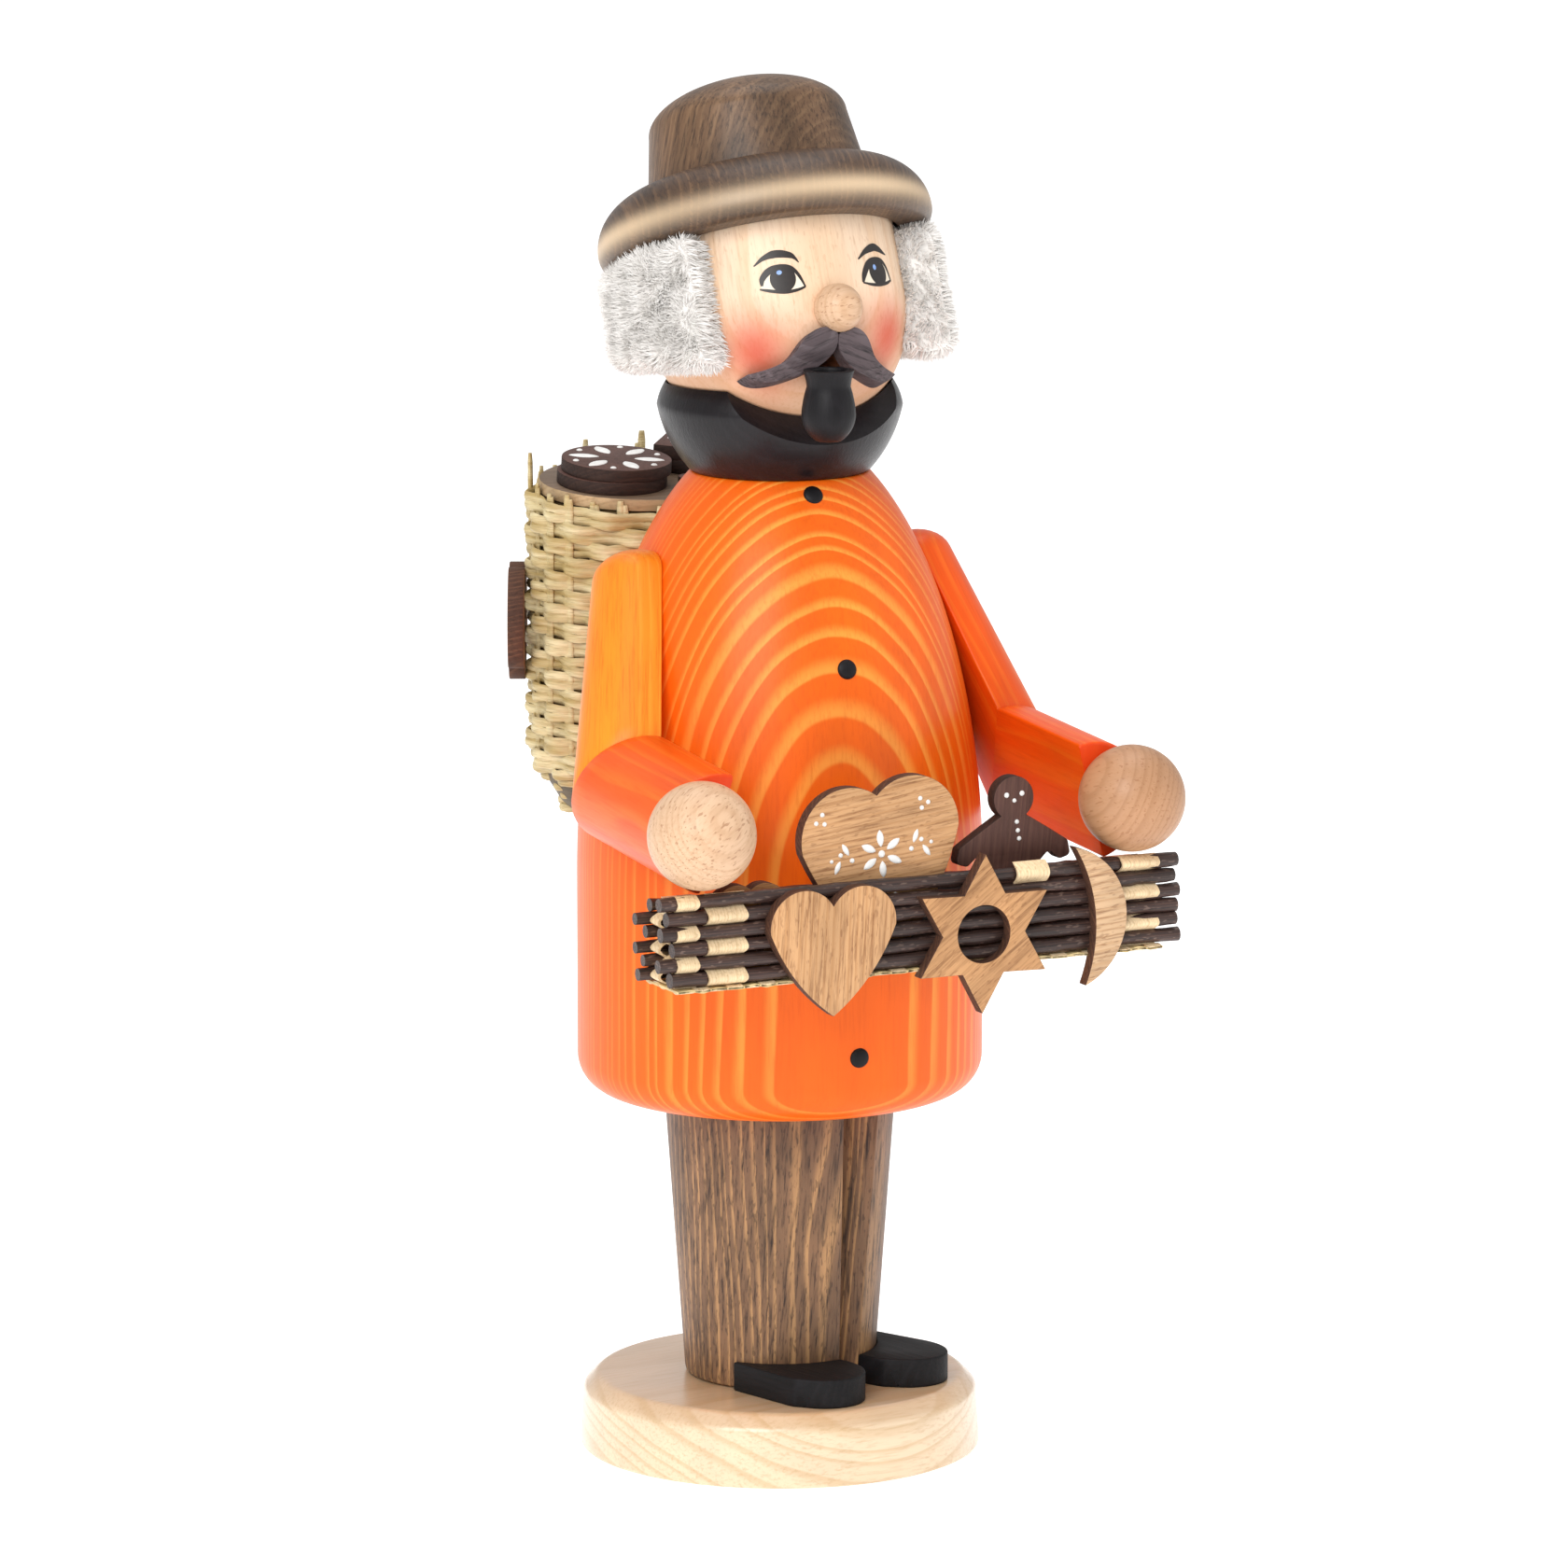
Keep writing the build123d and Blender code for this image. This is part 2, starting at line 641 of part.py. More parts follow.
# Collar: a turned bowl round the chin, cut down at the front
def collar():
    widest = coat_top + collar_height * collar_widest_share
    rim = coat_top + collar_height
    lower_bulge = coat_top_radius + (collar_widest_radius - coat_top_radius) * collar_bulge_share
    upper_bulge = collar_rim_radius + (collar_widest_radius - collar_rim_radius) * collar_bulge_share
    edges = outline([(collar_rim_radius, rim), (0, rim), (0, coat_top), (coat_top_radius, coat_top)])
    edges.append(ThreePointArc((coat_top_radius, coat_top), (lower_bulge, (coat_top + widest) / 2),
                               (collar_widest_radius, widest)))
    edges.append(ThreePointArc((collar_widest_radius, widest), (upper_bulge, (widest + rim) / 2),
                               (collar_rim_radius, rim)))
    cut = Pos(0, -collar_cut_reach, coat_top + collar_height / 2) * Rot(-collar_cut_angle, 0, 0) * Box(
        tool_size, tool_size, tool_size, align=(Align.CENTER, Align.MAX, Align.CENTER))
    hole = rod(neck_dowel_diameter / 2 + glue_gap, collar_height, (0, 0, coat_top))
    return turned(edges) - head_form(soft_gap) - hole - cut


# Hat brim and crown, turned apart
def hat_brim():
    edge = brim_start + brim_edge_height
    brim_radius = brim_diameter / 2
    lip = brim_start + (head_top - brim_start) / 2
    edges = outline([(crown_radius, brim_top), (0, brim_top), (0, head_top),
                     (brow_radius + glue_gap, head_top), (brim_lip_radius, lip),
                     (brim_lip_radius, brim_start), (brim_under_radius, brim_start)])
    edges.append(arc_between((brim_under_radius, edge), brim_radius - brim_under_radius, brim_edge_height,
                             -90, 0))
    edges.append(arc_between((crown_radius, edge), brim_radius - crown_radius, brim_top - edge, 0, 90))
    return head_frame * turned(edges) - hat_dowel(glue_gap)


def hat_crown():
    bend = brim_top + crown_straight
    edges = outline([(0, bend + crown_dome), (0, brim_top), (crown_radius, brim_top),
                     (crown_top_radius, bend)])
    edges.append(arc_between((0, bend), crown_top_radius, crown_dome, 0, 90))
    return head_frame * turned(edges) - hat_dowel(glue_gap)


def hair_band():
    """A rounded band about the head's axis, from one temple round the back to the other."""
    inner = brow_radius - hair_edge
    outer = hair_radius
    edge = hair_edge
    profile = make_face(Wire([
        Line((inner, -hair_bottom), (outer - edge, -hair_bottom)),
        arc_between((outer - edge, edge - hair_bottom), edge, edge, -90, 0),
        Line((outer, edge - hair_bottom), (outer, hair_top - edge)),
        arc_between((outer - edge, hair_top - edge), edge, edge, 0, 90),
        Line((outer - edge, hair_top), (inner, hair_top)),
        Line((inner, hair_top), (inner, -hair_bottom)),
    ]))
    sweep_angle = 360 - 2 * hair_front_angle
    band = revolve(Plane.XZ * profile, Axis.Z, sweep_angle)
    band = Rot(0, 0, hair_front_angle - 90) * band
    ends = hair_radius * cos(radians(hair_front_angle))
    cut = Pos(0, -ends, -hair_bottom) * Rot(hair_rise, 0, 0) * Box(
        tool_size, tool_size, tool_size, align=(Align.CENTER, Align.CENTER, Align.MAX))
    below = rod(collar_widest_radius + soft_gap, collar_height + soft_gap, (0, 0, coat_top))
    return head_frame * (band - cut) - head_form(glue_gap) - below


# Tray: six sticks at the front, six at the back, held by canes on a mat
tray_front = hand_spot.Y
tray_back = tray_front + tray_depth
tray_top = hand_spot.Z - hand_radius - glue_gap
stick_radius = stick_diameter / 2
tray_height = stick_rows * stick_diameter
tray_back_height = stick_rows * back_stick_diameter
tray_floor = tray_top - tray_height
stick_inset = stick_radius + glue_gap


def stick_row(y, diameter, first):
    """Round sticks one above the other, with uneven ends."""
    count = len(stick_end_shares)
    sticks = []
    for row in range(stick_rows):
        left = tray_length / 2 + stick_overhang * stick_end_shares[(row + first) % count]
        right = tray_length / 2 + stick_overhang * stick_end_shares[(row * 2 + first + 1) % count]
        z = tray_floor + diameter * (row + 1 / 2)
        sticks.append(Pos(-left, y, z) * Rot(0, 90, 0) * rod(diameter / 2 - glue_gap / 2, left + right))
    return sticks


def tray_mat():
    """The mat ends flush with the front sticks, where the goods hang."""
    front = tray_front - stick_radius
    depth = tray_depth + 2 * stick_radius + mat_margin
    return Pos(0, front, tray_floor - mat_thickness) * Box(
        tray_length, depth, mat_thickness, align=(Align.CENTER, Align.MIN, Align.MIN))


def canes(shares, y, side, height, foot=0):
    """Flat upright canes on the outer side of a row of sticks."""
    place = y + side * (stick_inset + cane_thickness / 2)
    return [
        Pos(tray_length * share, place, tray_floor + foot) * Box(
            cane_width, cane_thickness, height, align=(Align.CENTER, Align.CENTER, Align.MIN))
        for share in shares
    ]


def end_canes():
    """Short canes across the tray's two ends, between the rows of sticks."""
    depth = tray_depth - 2 * stick_inset
    x = tray_length / 2 - cane_thickness
    return [
        Pos(side * x, tray_front + tray_depth / 2, tray_floor) * Box(
            cane_thickness, depth, tray_back_height, align=(Align.CENTER, Align.CENTER, Align.MIN))
        for side in (-1, 1)
    ]


# Goods: flat shapes drawn in X and Z, with their faces to the front
front_goods_y = tray_front - stick_inset
inner_front_y = tray_front + stick_inset + goods_play
inner_back_y = tray_back - stick_inset - goods_play


def board(face, y, thickness=goods_board):
    """Saws a flat shape from board, its back face at y."""
    return Pos(0, y, 0) * extrude(Plane.XZ * face, thickness)


def heart(width, height, cleft_share):
    """A heart that stands on its tip."""
    side_x, side_z = heart_side_shares
    cleft = (0, height * cleft_share)
    arcs = []
    for way in (1, -1):
        widest = (way * width / 2, height * heart_widest_share)
        arcs.append(ThreePointArc(cleft, (way * width * heart_lobe_share, height), widest))
        arcs.append(ThreePointArc(widest, (way * width * side_x, height * side_z), (0, 0)))
    return make_face(Wire([arcs[0], arcs[1], arcs[3], arcs[2]]))


def small_heart():
    spot = Pos(tray_length * small_heart_x_share, 0, tray_floor - small_heart_drop)
    return spot * board(heart(small_heart_width, small_heart_height, heart_cleft_share), front_goods_y)


def star():
    corners = []
    for k in range(2 * star_points):
        radius = star_radius if k % 2 == 0 else star_radius * star_inner_share
        angle = pi * k / star_points + radians(star_turn)
        corners.append((radius * sin(angle), radius * cos(angle)))
    face = make_face(Wire(outline(corners + corners[:1]))) - Circle(star_hole_diameter / 2)
    spot = Pos(tray_length * star_x_share, 0, tray_floor + tray_height * star_height_share)
    return spot * board(face, front_goods_y)


def moon():
    half = moon_height / 2
    face = make_face(Wire([
        ThreePointArc((0, half), (moon_width, 0), (0, -half)),
        ThreePointArc((0, -half), (moon_hollow, 0), (0, half)),
    ]))
    x = tray_length * front_cane_shares[-1] - cane_width / 2 - moon_play - moon_width
    spot = Pos(x, 0, tray_floor + tray_height * moon_height_share)
    return spot * board(Rot(0, 0, moon_turn) * face, front_goods_y)


def large_heart():
    face = heart(large_heart_width, large_heart_height, large_heart_cleft_share)
    face = Rot(0, 0, large_heart_turn) * face
    spot = Pos(tray_length * large_heart_x_share, 0, tray_floor + glue_gap)
    return spot * board(face, inner_front_y + goods_board)


def gingerbread_man():
    """A round head on a body with hanging arms, sawn from one board."""
    half = [(x * man_arm_span / 2, z * man_height) for x, z in man_side_shares]
    left = [(-x, z) for x, z in half[-2::-1]]
    head_arc = ThreePointArc(left[-1], (0, man_height), half[0])
    face = make_face(Wire(outline(half + left) + [head_arc]))
    neck_height = half[0][1] - man_corner
    face = fillet([corner for corner in face.vertices() if corner.Y < neck_height], man_corner)
    spot = Pos(tray_length * man_x_share, 0, tray_floor + glue_gap)
    return spot * board(face, inner_back_y)


def pretzel(width):
    """Two leaning loops over a small one, drawn as a flat shape."""
    a = width * loop_width_share
    b = width * loop_height_share
    wall = width * loop_wall_share
    place = width * loop_place_share
    face = Pos(0, -place) * Ellipse(place + wall / 2, place + wall / 2)
    holes = Pos(0, -place) * Ellipse(place - wall / 2, place - wall / 2)
    for side in (-1, 1):
        loop = Pos(side * place, 0) * Rot(0, 0, side * loop_turn)
        face += loop * Ellipse(a, b)
    for side in (-1, 1):
        loop = Pos(side * (place + wall * loop_hole_share), 0) * Rot(0, 0, side * loop_turn)
        holes = holes + loop * Ellipse(a - wall, b - wall)
    return face - holes


def tray_pretzel():
    face = pretzel(pretzel_width)
    low = face.bounding_box().min.Y
    spot = Pos(tray_length * pretzel_x_share, 0, tray_floor - low + glue_gap)
    return spot * board(face, inner_front_y + goods_board)


# Basket: an oval plaited shell, closed by a board
basket_rim = coat_top - basket_top_drop
basket_floor = basket_rim - basket_height
basket_round = basket_height * basket_round_share
basket_y = coat_radius_at(basket_floor + basket_round) + soft_gap + basket_depth / 2
half_width = basket_width / 2
half_depth = basket_depth / 2
top_lean = radians(basket_lean)
basket_top = Plane(
    origin=(0, basket_y, basket_rim),
    x_dir=(1, 0, 0),
    z_dir=(0, -sin(top_lean), cos(top_lean)),
)


def oval(height, share, inset=0):
    return Pos(0, basket_y, height) * Ellipse(half_width * share - inset, half_depth * share - inset)


def basket_form(inset, floor_lift):
    """Oval tub with a rounded foot; inset and floor_lift give its inside."""
    foot = basket_floor + floor_lift
    belly = basket_floor + basket_round / 2
    straight = basket_floor + basket_round
    lower = loft([oval(foot, basket_foot_share, inset), oval(belly, basket_belly_share, inset),
                  oval(straight, 1, inset)], ruled=True)
    run = basket_rim + half_depth * tan(top_lean) + overrun - straight
    return lower + extrude(oval(straight, 1, inset), run)


def basket():
    shell = basket_form(0, 0) - basket_form(basket_wall, basket_wall)
    return split(shell, basket_top, keep=Keep.BOTTOM)


def basket_stakes():
    """Ends of the stakes, which stand up out of the rim between the top rounds."""
    a = half_width - basket_wall / 2
    b = (half_depth - basket_wall / 2) / cos(top_lean)
    stubs = []
    for k in range(stake_count):
        angle = 2 * pi * (k + 1 / 2) / stake_count
        height = stake_stub * stake_stub_shares[k % len(stake_stub_shares)]
        stubs.append(basket_top * rod(stake_diameter / 2, height, (a * cos(angle), b * sin(angle), 0)))
    return stubs


def basket_board():
    inset = basket_wall - board_seat
    return basket_top * extrude(Ellipse(half_width - inset, half_depth - inset), board_thickness)


def on_board(x_share, y_share):
    """A place on the board, in shares of the basket's width and depth from its middle."""
    return basket_top * Pos(basket_width * x_share, basket_depth * y_share, board_thickness)


def disc(level):
    return on_board(disc_x_share, disc_y_share) * rod(
        disc_diameter / 2, disc_thickness, (level * disc_slip, 0, level * disc_thickness))


def diamonds():
    """Two lozenges of gingerbread, one on the other."""
    flat = extrude(Rot(0, 0, 45) * Rectangle(diamond_width, diamond_width), diamond_thickness)
    place = on_board(diamond_x_share, diamond_y_share)
    return [place * flat, place * Pos(0, 0, diamond_thickness) * Rot(0, 0, diamond_turn) * flat]


def biscuit():
    face = Pos(0, -biscuit_width / 2) * heart(biscuit_width, biscuit_width, heart_cleft_share)
    return on_board(biscuit_x_share, biscuit_y_share) * extrude(face, biscuit_thickness)


def side_pretzel():
    """Stands flat against the basket's side, where the oval faces its way."""
    turn = radians(side_pretzel_turn)
    reach = sqrt((half_width * cos(turn)) ** 2 + (half_depth * sin(turn)) ** 2)
    spot = (half_width ** 2 * cos(turn) / reach + glue_gap * cos(turn),
            basket_y + half_depth ** 2 * sin(turn) / reach + glue_gap * sin(turn),
            basket_floor + basket_height * side_pretzel_share)
    plate = Plane(origin=spot, x_dir=(-sin(turn), cos(turn), 0), z_dir=(cos(turn), sin(turn), 0))
    return plate * extrude(pretzel(side_pretzel_width), side_pretzel_board)


left_upper_arm, right_upper_arm = both(upper_arm())
left_forearm, right_forearm = both(forearm())
left_hand, right_hand = both(arm_frame * hand())

for piece, shapes in {
    "base_plate": [base_plate()],
    "leg_dowel": [leg_dowel()],
    "trousers": [trousers()],
    "right_shoe": [shoe(-1)],
    "left_shoe": [shoe(1)],
    "incense_plate": [incense_plate()],
    "plate_nail": [plate_nail()],
    "coat": [coat()],
    "coat_buttons": buttons(),
    "collar": [collar()],
    "neck_dowel": [neck_dowel()],
    "head": [head()],
    "nose": [nose()],
    "moustache_right": [moustache(-1)],
    "moustache_left": [moustache(1)],
    "pipe": [pipe()],
    "hat_brim": [hat_brim()],
    "hat_crown": [hat_crown()],
    "hat_dowel": [hat_dowel()],
    "hair_band": [hair_band()],
    "right_upper_arm": [right_upper_arm],
    "left_upper_arm": [left_upper_arm],
    "right_forearm": [right_forearm],
    "left_forearm": [left_forearm],
    "right_hand": [right_hand],
    "left_hand": [left_hand],
    "shoulder_dowels": both(arm_frame * shoulder_dowel()),
    "tray_front_sticks": stick_row(tray_front, stick_diameter, 0),
    "tray_back_sticks": stick_row(tray_back, back_stick_diameter, back_row_steps),
    "tray_mat": [tray_mat()],
    "tray_front_canes": canes(front_cane_shares, tray_front, -1, tray_height) + canes(
        (hook_share,), tray_front, -1, hook_height, tray_height - hook_height),
    "tray_back_canes": canes(back_cane_shares, tray_back, 1, tray_back_height),
    "tray_end_canes": end_canes(),
    "small_heart": [small_heart()],
    "star": [star()],
    "moon": [moon()],
    "large_heart": [large_heart()],
    "gingerbread_man": [gingerbread_man()],
    "tray_pretzel": [tray_pretzel()],
    "basket": [basket()],
    "basket_stakes": basket_stakes(),
    "basket_board": [basket_board()],
    "gingerbread_disc_lower": [disc(0)],
    "gingerbread_disc_upper": [disc(1)],
    "gingerbread_diamonds": diamonds(),
    "gingerbread_biscuit": [biscuit()],
    "basket_pretzel": [side_pretzel()],
}.items():
    write_node(piece, shapes)
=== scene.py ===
# %% [markdown]
# # A turned incense smoker
# The figure is a gingerbread seller from a woodturner's bench: a hollow coat on a pair of trousers,
# a round head, a hat, a tray of goods and a plaited basket on the back. The construction model gives
# each piece its place and size. This lesson dresses it, piece by piece, in wood, paint, straw and pile.

# %% Load the frame
from math import acos, asin, atan, atan2, cos, degrees, pi, radians, sin, sqrt, tan

import bmesh
import bpy
import numpy as np
from mathutils import Matrix, Vector


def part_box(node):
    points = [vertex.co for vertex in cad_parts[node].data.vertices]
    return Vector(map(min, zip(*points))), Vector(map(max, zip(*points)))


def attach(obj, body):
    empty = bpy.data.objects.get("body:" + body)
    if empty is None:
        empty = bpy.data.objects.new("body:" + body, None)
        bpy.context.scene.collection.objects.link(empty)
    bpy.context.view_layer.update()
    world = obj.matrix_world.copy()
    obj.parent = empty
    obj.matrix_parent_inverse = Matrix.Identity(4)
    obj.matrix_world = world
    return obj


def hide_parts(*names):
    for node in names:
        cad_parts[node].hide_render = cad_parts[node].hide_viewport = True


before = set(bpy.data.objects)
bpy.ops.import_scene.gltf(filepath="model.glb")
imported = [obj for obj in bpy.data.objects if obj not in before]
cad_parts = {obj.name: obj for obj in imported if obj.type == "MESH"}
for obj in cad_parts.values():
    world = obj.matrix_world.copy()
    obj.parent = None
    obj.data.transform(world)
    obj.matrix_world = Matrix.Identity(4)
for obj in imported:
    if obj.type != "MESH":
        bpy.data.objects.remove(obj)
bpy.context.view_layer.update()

MM = 0.001
print("nodes in the frame:", len(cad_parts))

# %% [markdown]
# ## The camera and the light
# A product photograph is taken from far away with a long lens, so that the turned forms keep their
# proportions. The camera stands 1.2 m off, a little above the figure and to its right side. Shift moves
# the picture in its frame without turning the camera, which keeps upright lines upright.

# %% Camera
BACK = Vector((-0.4317, -0.8852, 0.1736))     # from the figure to the camera
AIM_HEIGHT = 95.0                             # of the point that the camera looks at
CAMERA_DISTANCE = 1200.0
FOCAL_PIXELS = 9420.0
PICTURE_PIXELS = 1680.0
SENSOR = 36.0
AIM_PIXEL_SHIFT = (4.5, -22.8)


def linked(name, data):
    """A new object that shows the data, in the scene's collection."""
    thing = bpy.data.objects.new(name, data)
    bpy.context.collection.objects.link(thing)
    return thing


lens = bpy.data.cameras.new("long_lens")
lens.sensor_width = SENSOR
lens.lens = FOCAL_PIXELS / PICTURE_PIXELS * SENSOR
lens.shift_x = AIM_PIXEL_SHIFT[0] / PICTURE_PIXELS
lens.shift_y = AIM_PIXEL_SHIFT[1] / PICTURE_PIXELS
camera = linked("camera", lens)
camera.location = Vector((0, 0, AIM_HEIGHT * MM)) + BACK.normalized() * CAMERA_DISTANCE * MM
camera.rotation_euler = (-BACK).to_track_quat("-Z", "Y").to_euler()
bpy.context.scene.camera = camera
print("lens", round(lens.lens, 1), "mm")

# %% [markdown]
# Soft studio light comes from wide panels. One large panel at the front left models the round forms, a
# second one fills from the right, and one above lights the hat and the tray. The world is nearly white,
# as in a light tent, and gives the satin wood something pale to reflect.

# %% Light
def light_panel(name, place, size, power):
    """A square panel of light that faces the middle of the figure. Place and size in metres."""
    data = bpy.data.lights.new(name, "AREA")
    data.shape = "SQUARE"
    data.size = size
    data.energy = power
    panel = linked(name, data)
    panel.location = place
    aim = Vector((0, 0, AIM_HEIGHT * MM)) - Vector(place)
    panel.rotation_euler = aim.to_track_quat("-Z", "Y").to_euler()


light_panel("key_panel", (-0.75, -0.75, 0.75), 0.7, 9.0)
light_panel("fill_panel", (0.85, -0.55, 0.35), 0.8, 1.0)
light_panel("top_panel", (0.05, 0.15, 1.1), 0.8, 4.0)

world = bpy.data.worlds.new("light_tent")
world.use_nodes = True
world.node_tree.nodes["Background"].inputs["Color"].default_value = (1, 1, 1, 1)
world.node_tree.nodes["Background"].inputs["Strength"].default_value = 0.64
bpy.context.scene.world = world
bpy.context.scene.view_settings.view_transform = "Standard"

# %% [markdown]
# ## Colours and nodes
# A colour is written as the hex value that one would pick from a picture, and turned to the linear value
# that a shader needs. One helper adds a node, sets its properties and links its inputs.

# %% Helpers for colours and nodes
def linear(hex_colour):
    """sRGB hex value to linear red, green, blue and alpha."""
    parts = [int(hex_colour[k:k + 2], 16) / 255 for k in (1, 3, 5)]
    return [c / 12.92 if c <= 0.04045 else ((c + 0.055) / 1.055) ** 2.4 for c in parts] + [1.0]


def add(tree, kind, inputs=None, **settings):
    """Adds a node with its settings. An input is a value, a socket, or a node for its first output."""
    node = tree.nodes.new(kind)
    for key, value in settings.items():
        setattr(node, key, value)
    for key, value in (inputs or {}).items():
        if isinstance(value, bpy.types.Node):
            value = value.outputs[0]
        if isinstance(value, bpy.types.NodeSocket):
            tree.links.new(value, node.inputs[key])
        else:
            node.inputs[key].default_value = value
    return node


def new_material(name):
    """A material, with its node tree, its shader's inputs and the piece's own coordinates in metres."""
    material = bpy.data.materials.new(name)
    material.use_nodes = True
    tree = material.node_tree
    place = add(tree, "ShaderNodeTexCoord").outputs["Object"]
    return material, tree, tree.nodes["Principled BSDF"].inputs, place


# %% [markdown]
# ## Wood from the inside out
# A turned piece cuts through the year rings of the tree, and that gives the arches and stripes on its
# surface. So the wood is made as a solid: rings about a pith that lies outside the piece, with a little
# waver, and fine fibres along the grain. The turned form then shows the right pattern by itself. The group
# takes a place in millimetres, with the grain along Z.

# %% The grain group
def grain_group():
    tree = bpy.data.node_groups.new("year_rings_and_fibres", "ShaderNodeTree")
    for name, kind, value in (("Place", "NodeSocketVector", None), ("Ring width", "NodeSocketFloat", 1.0),
                              ("Waver", "NodeSocketFloat", 1.0), ("Seed", "NodeSocketFloat", 0.0)):
        socket = tree.interface.new_socket(name, in_out="INPUT", socket_type=kind)
        if value is not None:
            socket.default_value = value
    for name in ("Latewood", "Fibre", "Fleck", "Mottle"):
        tree.interface.new_socket(name, in_out="OUTPUT", socket_type="NodeSocketFloat")
    given = add(tree, "NodeGroupInput").outputs
    slow = add(tree, "ShaderNodeVectorMath", {0: given["Place"], 1: (0.045, 0.045, 0.014)},
               operation="MULTIPLY")
    drift = add(tree, "ShaderNodeTexNoise", {"Vector": slow, "W": given["Seed"], "Scale": 1.0, "Detail": 2.0},
                noise_dimensions="4D").outputs["Color"]
    centred = add(tree, "ShaderNodeVectorMath", {0: drift, 1: (0.5, 0.5, 0.5)}, operation="SUBTRACT")
    push = add(tree, "ShaderNodeVectorMath", {0: centred, "Scale": given["Waver"]}, operation="SCALE")
    bent = add(tree, "ShaderNodeVectorMath", {0: given["Place"], 1: push}, operation="ADD")
    flat = add(tree, "ShaderNodeVectorMath", {0: bent, 1: (1, 1, 0)}, operation="MULTIPLY")
    radius = add(tree, "ShaderNodeVectorMath", {0: flat}, operation="LENGTH").outputs["Value"]
    count = add(tree, "ShaderNodeMath", {0: radius, 1: given["Ring width"]}, operation="DIVIDE")
    shifted = add(tree, "ShaderNodeMath", {0: count, 1: 0.37, 2: given["Seed"]},
                  operation="MULTIPLY_ADD")
    years = add(tree, "ShaderNodeTexNoise", {"W": shifted, "Scale": 1.0, "Detail": 1.0},
                noise_dimensions="1D")
    uneven = add(tree, "ShaderNodeMath", {0: years, 1: 1.7, 2: count}, operation="MULTIPLY_ADD")
    part = add(tree, "ShaderNodeMath", {0: uneven}, operation="FRACT")
    grow = add(tree, "ShaderNodeMapRange", {"Value": part, "From Min": 0.46, "From Max": 0.88},
               interpolation_type="SMOOTHSTEP")
    stop = add(tree, "ShaderNodeMapRange", {"Value": part, "From Min": 0.90, "From Max": 1.0, "To Min": 1.0,
                                            "To Max": 0.0}, interpolation_type="SMOOTHSTEP")
    late = add(tree, "ShaderNodeMath", {0: grow, 1: stop}, operation="MULTIPLY")
    drawn = add(tree, "ShaderNodeVectorMath", {0: given["Place"], 1: (2.4, 2.4, 0.14)},
                operation="MULTIPLY")
    fibre = add(tree, "ShaderNodeTexNoise", {"Vector": drawn, "Scale": 1.0, "Detail": 4.0,
                                             "Roughness": 0.65})
    short = add(tree, "ShaderNodeVectorMath", {0: given["Place"], 1: (2.6, 2.6, 0.75)},
                operation="MULTIPLY")
    spots = add(tree, "ShaderNodeTexNoise", {"Vector": short, "Scale": 1.0, "Detail": 1.0})
    fleck = add(tree, "ShaderNodeMapRange", {"Value": spots, "From Min": 0.60, "From Max": 0.70},
                interpolation_type="SMOOTHSTEP")
    broad = add(tree, "ShaderNodeVectorMath", {0: given["Place"], 1: (0.16, 0.16, 0.05)},
                operation="MULTIPLY")
    mottle = add(tree, "ShaderNodeTexNoise", {"Vector": broad, "Scale": 1.0, "Detail": 3.0})
    add(tree, "NodeGroupOutput", {"Latewood": late, "Fibre": fibre, "Fleck": fleck, "Mottle": mottle})
    return tree


rings = grain_group()
print("grain group:", len(rings.nodes), "nodes")

# %% [markdown]
# A wood material reads the group at its own place in the tree: a point on the pith and the way that the
# grain runs. Earlywood drinks more stain than the hard latewood lines. Fibres shade it finely, and they
# are also the only bump, because a turner sands the rings flush.

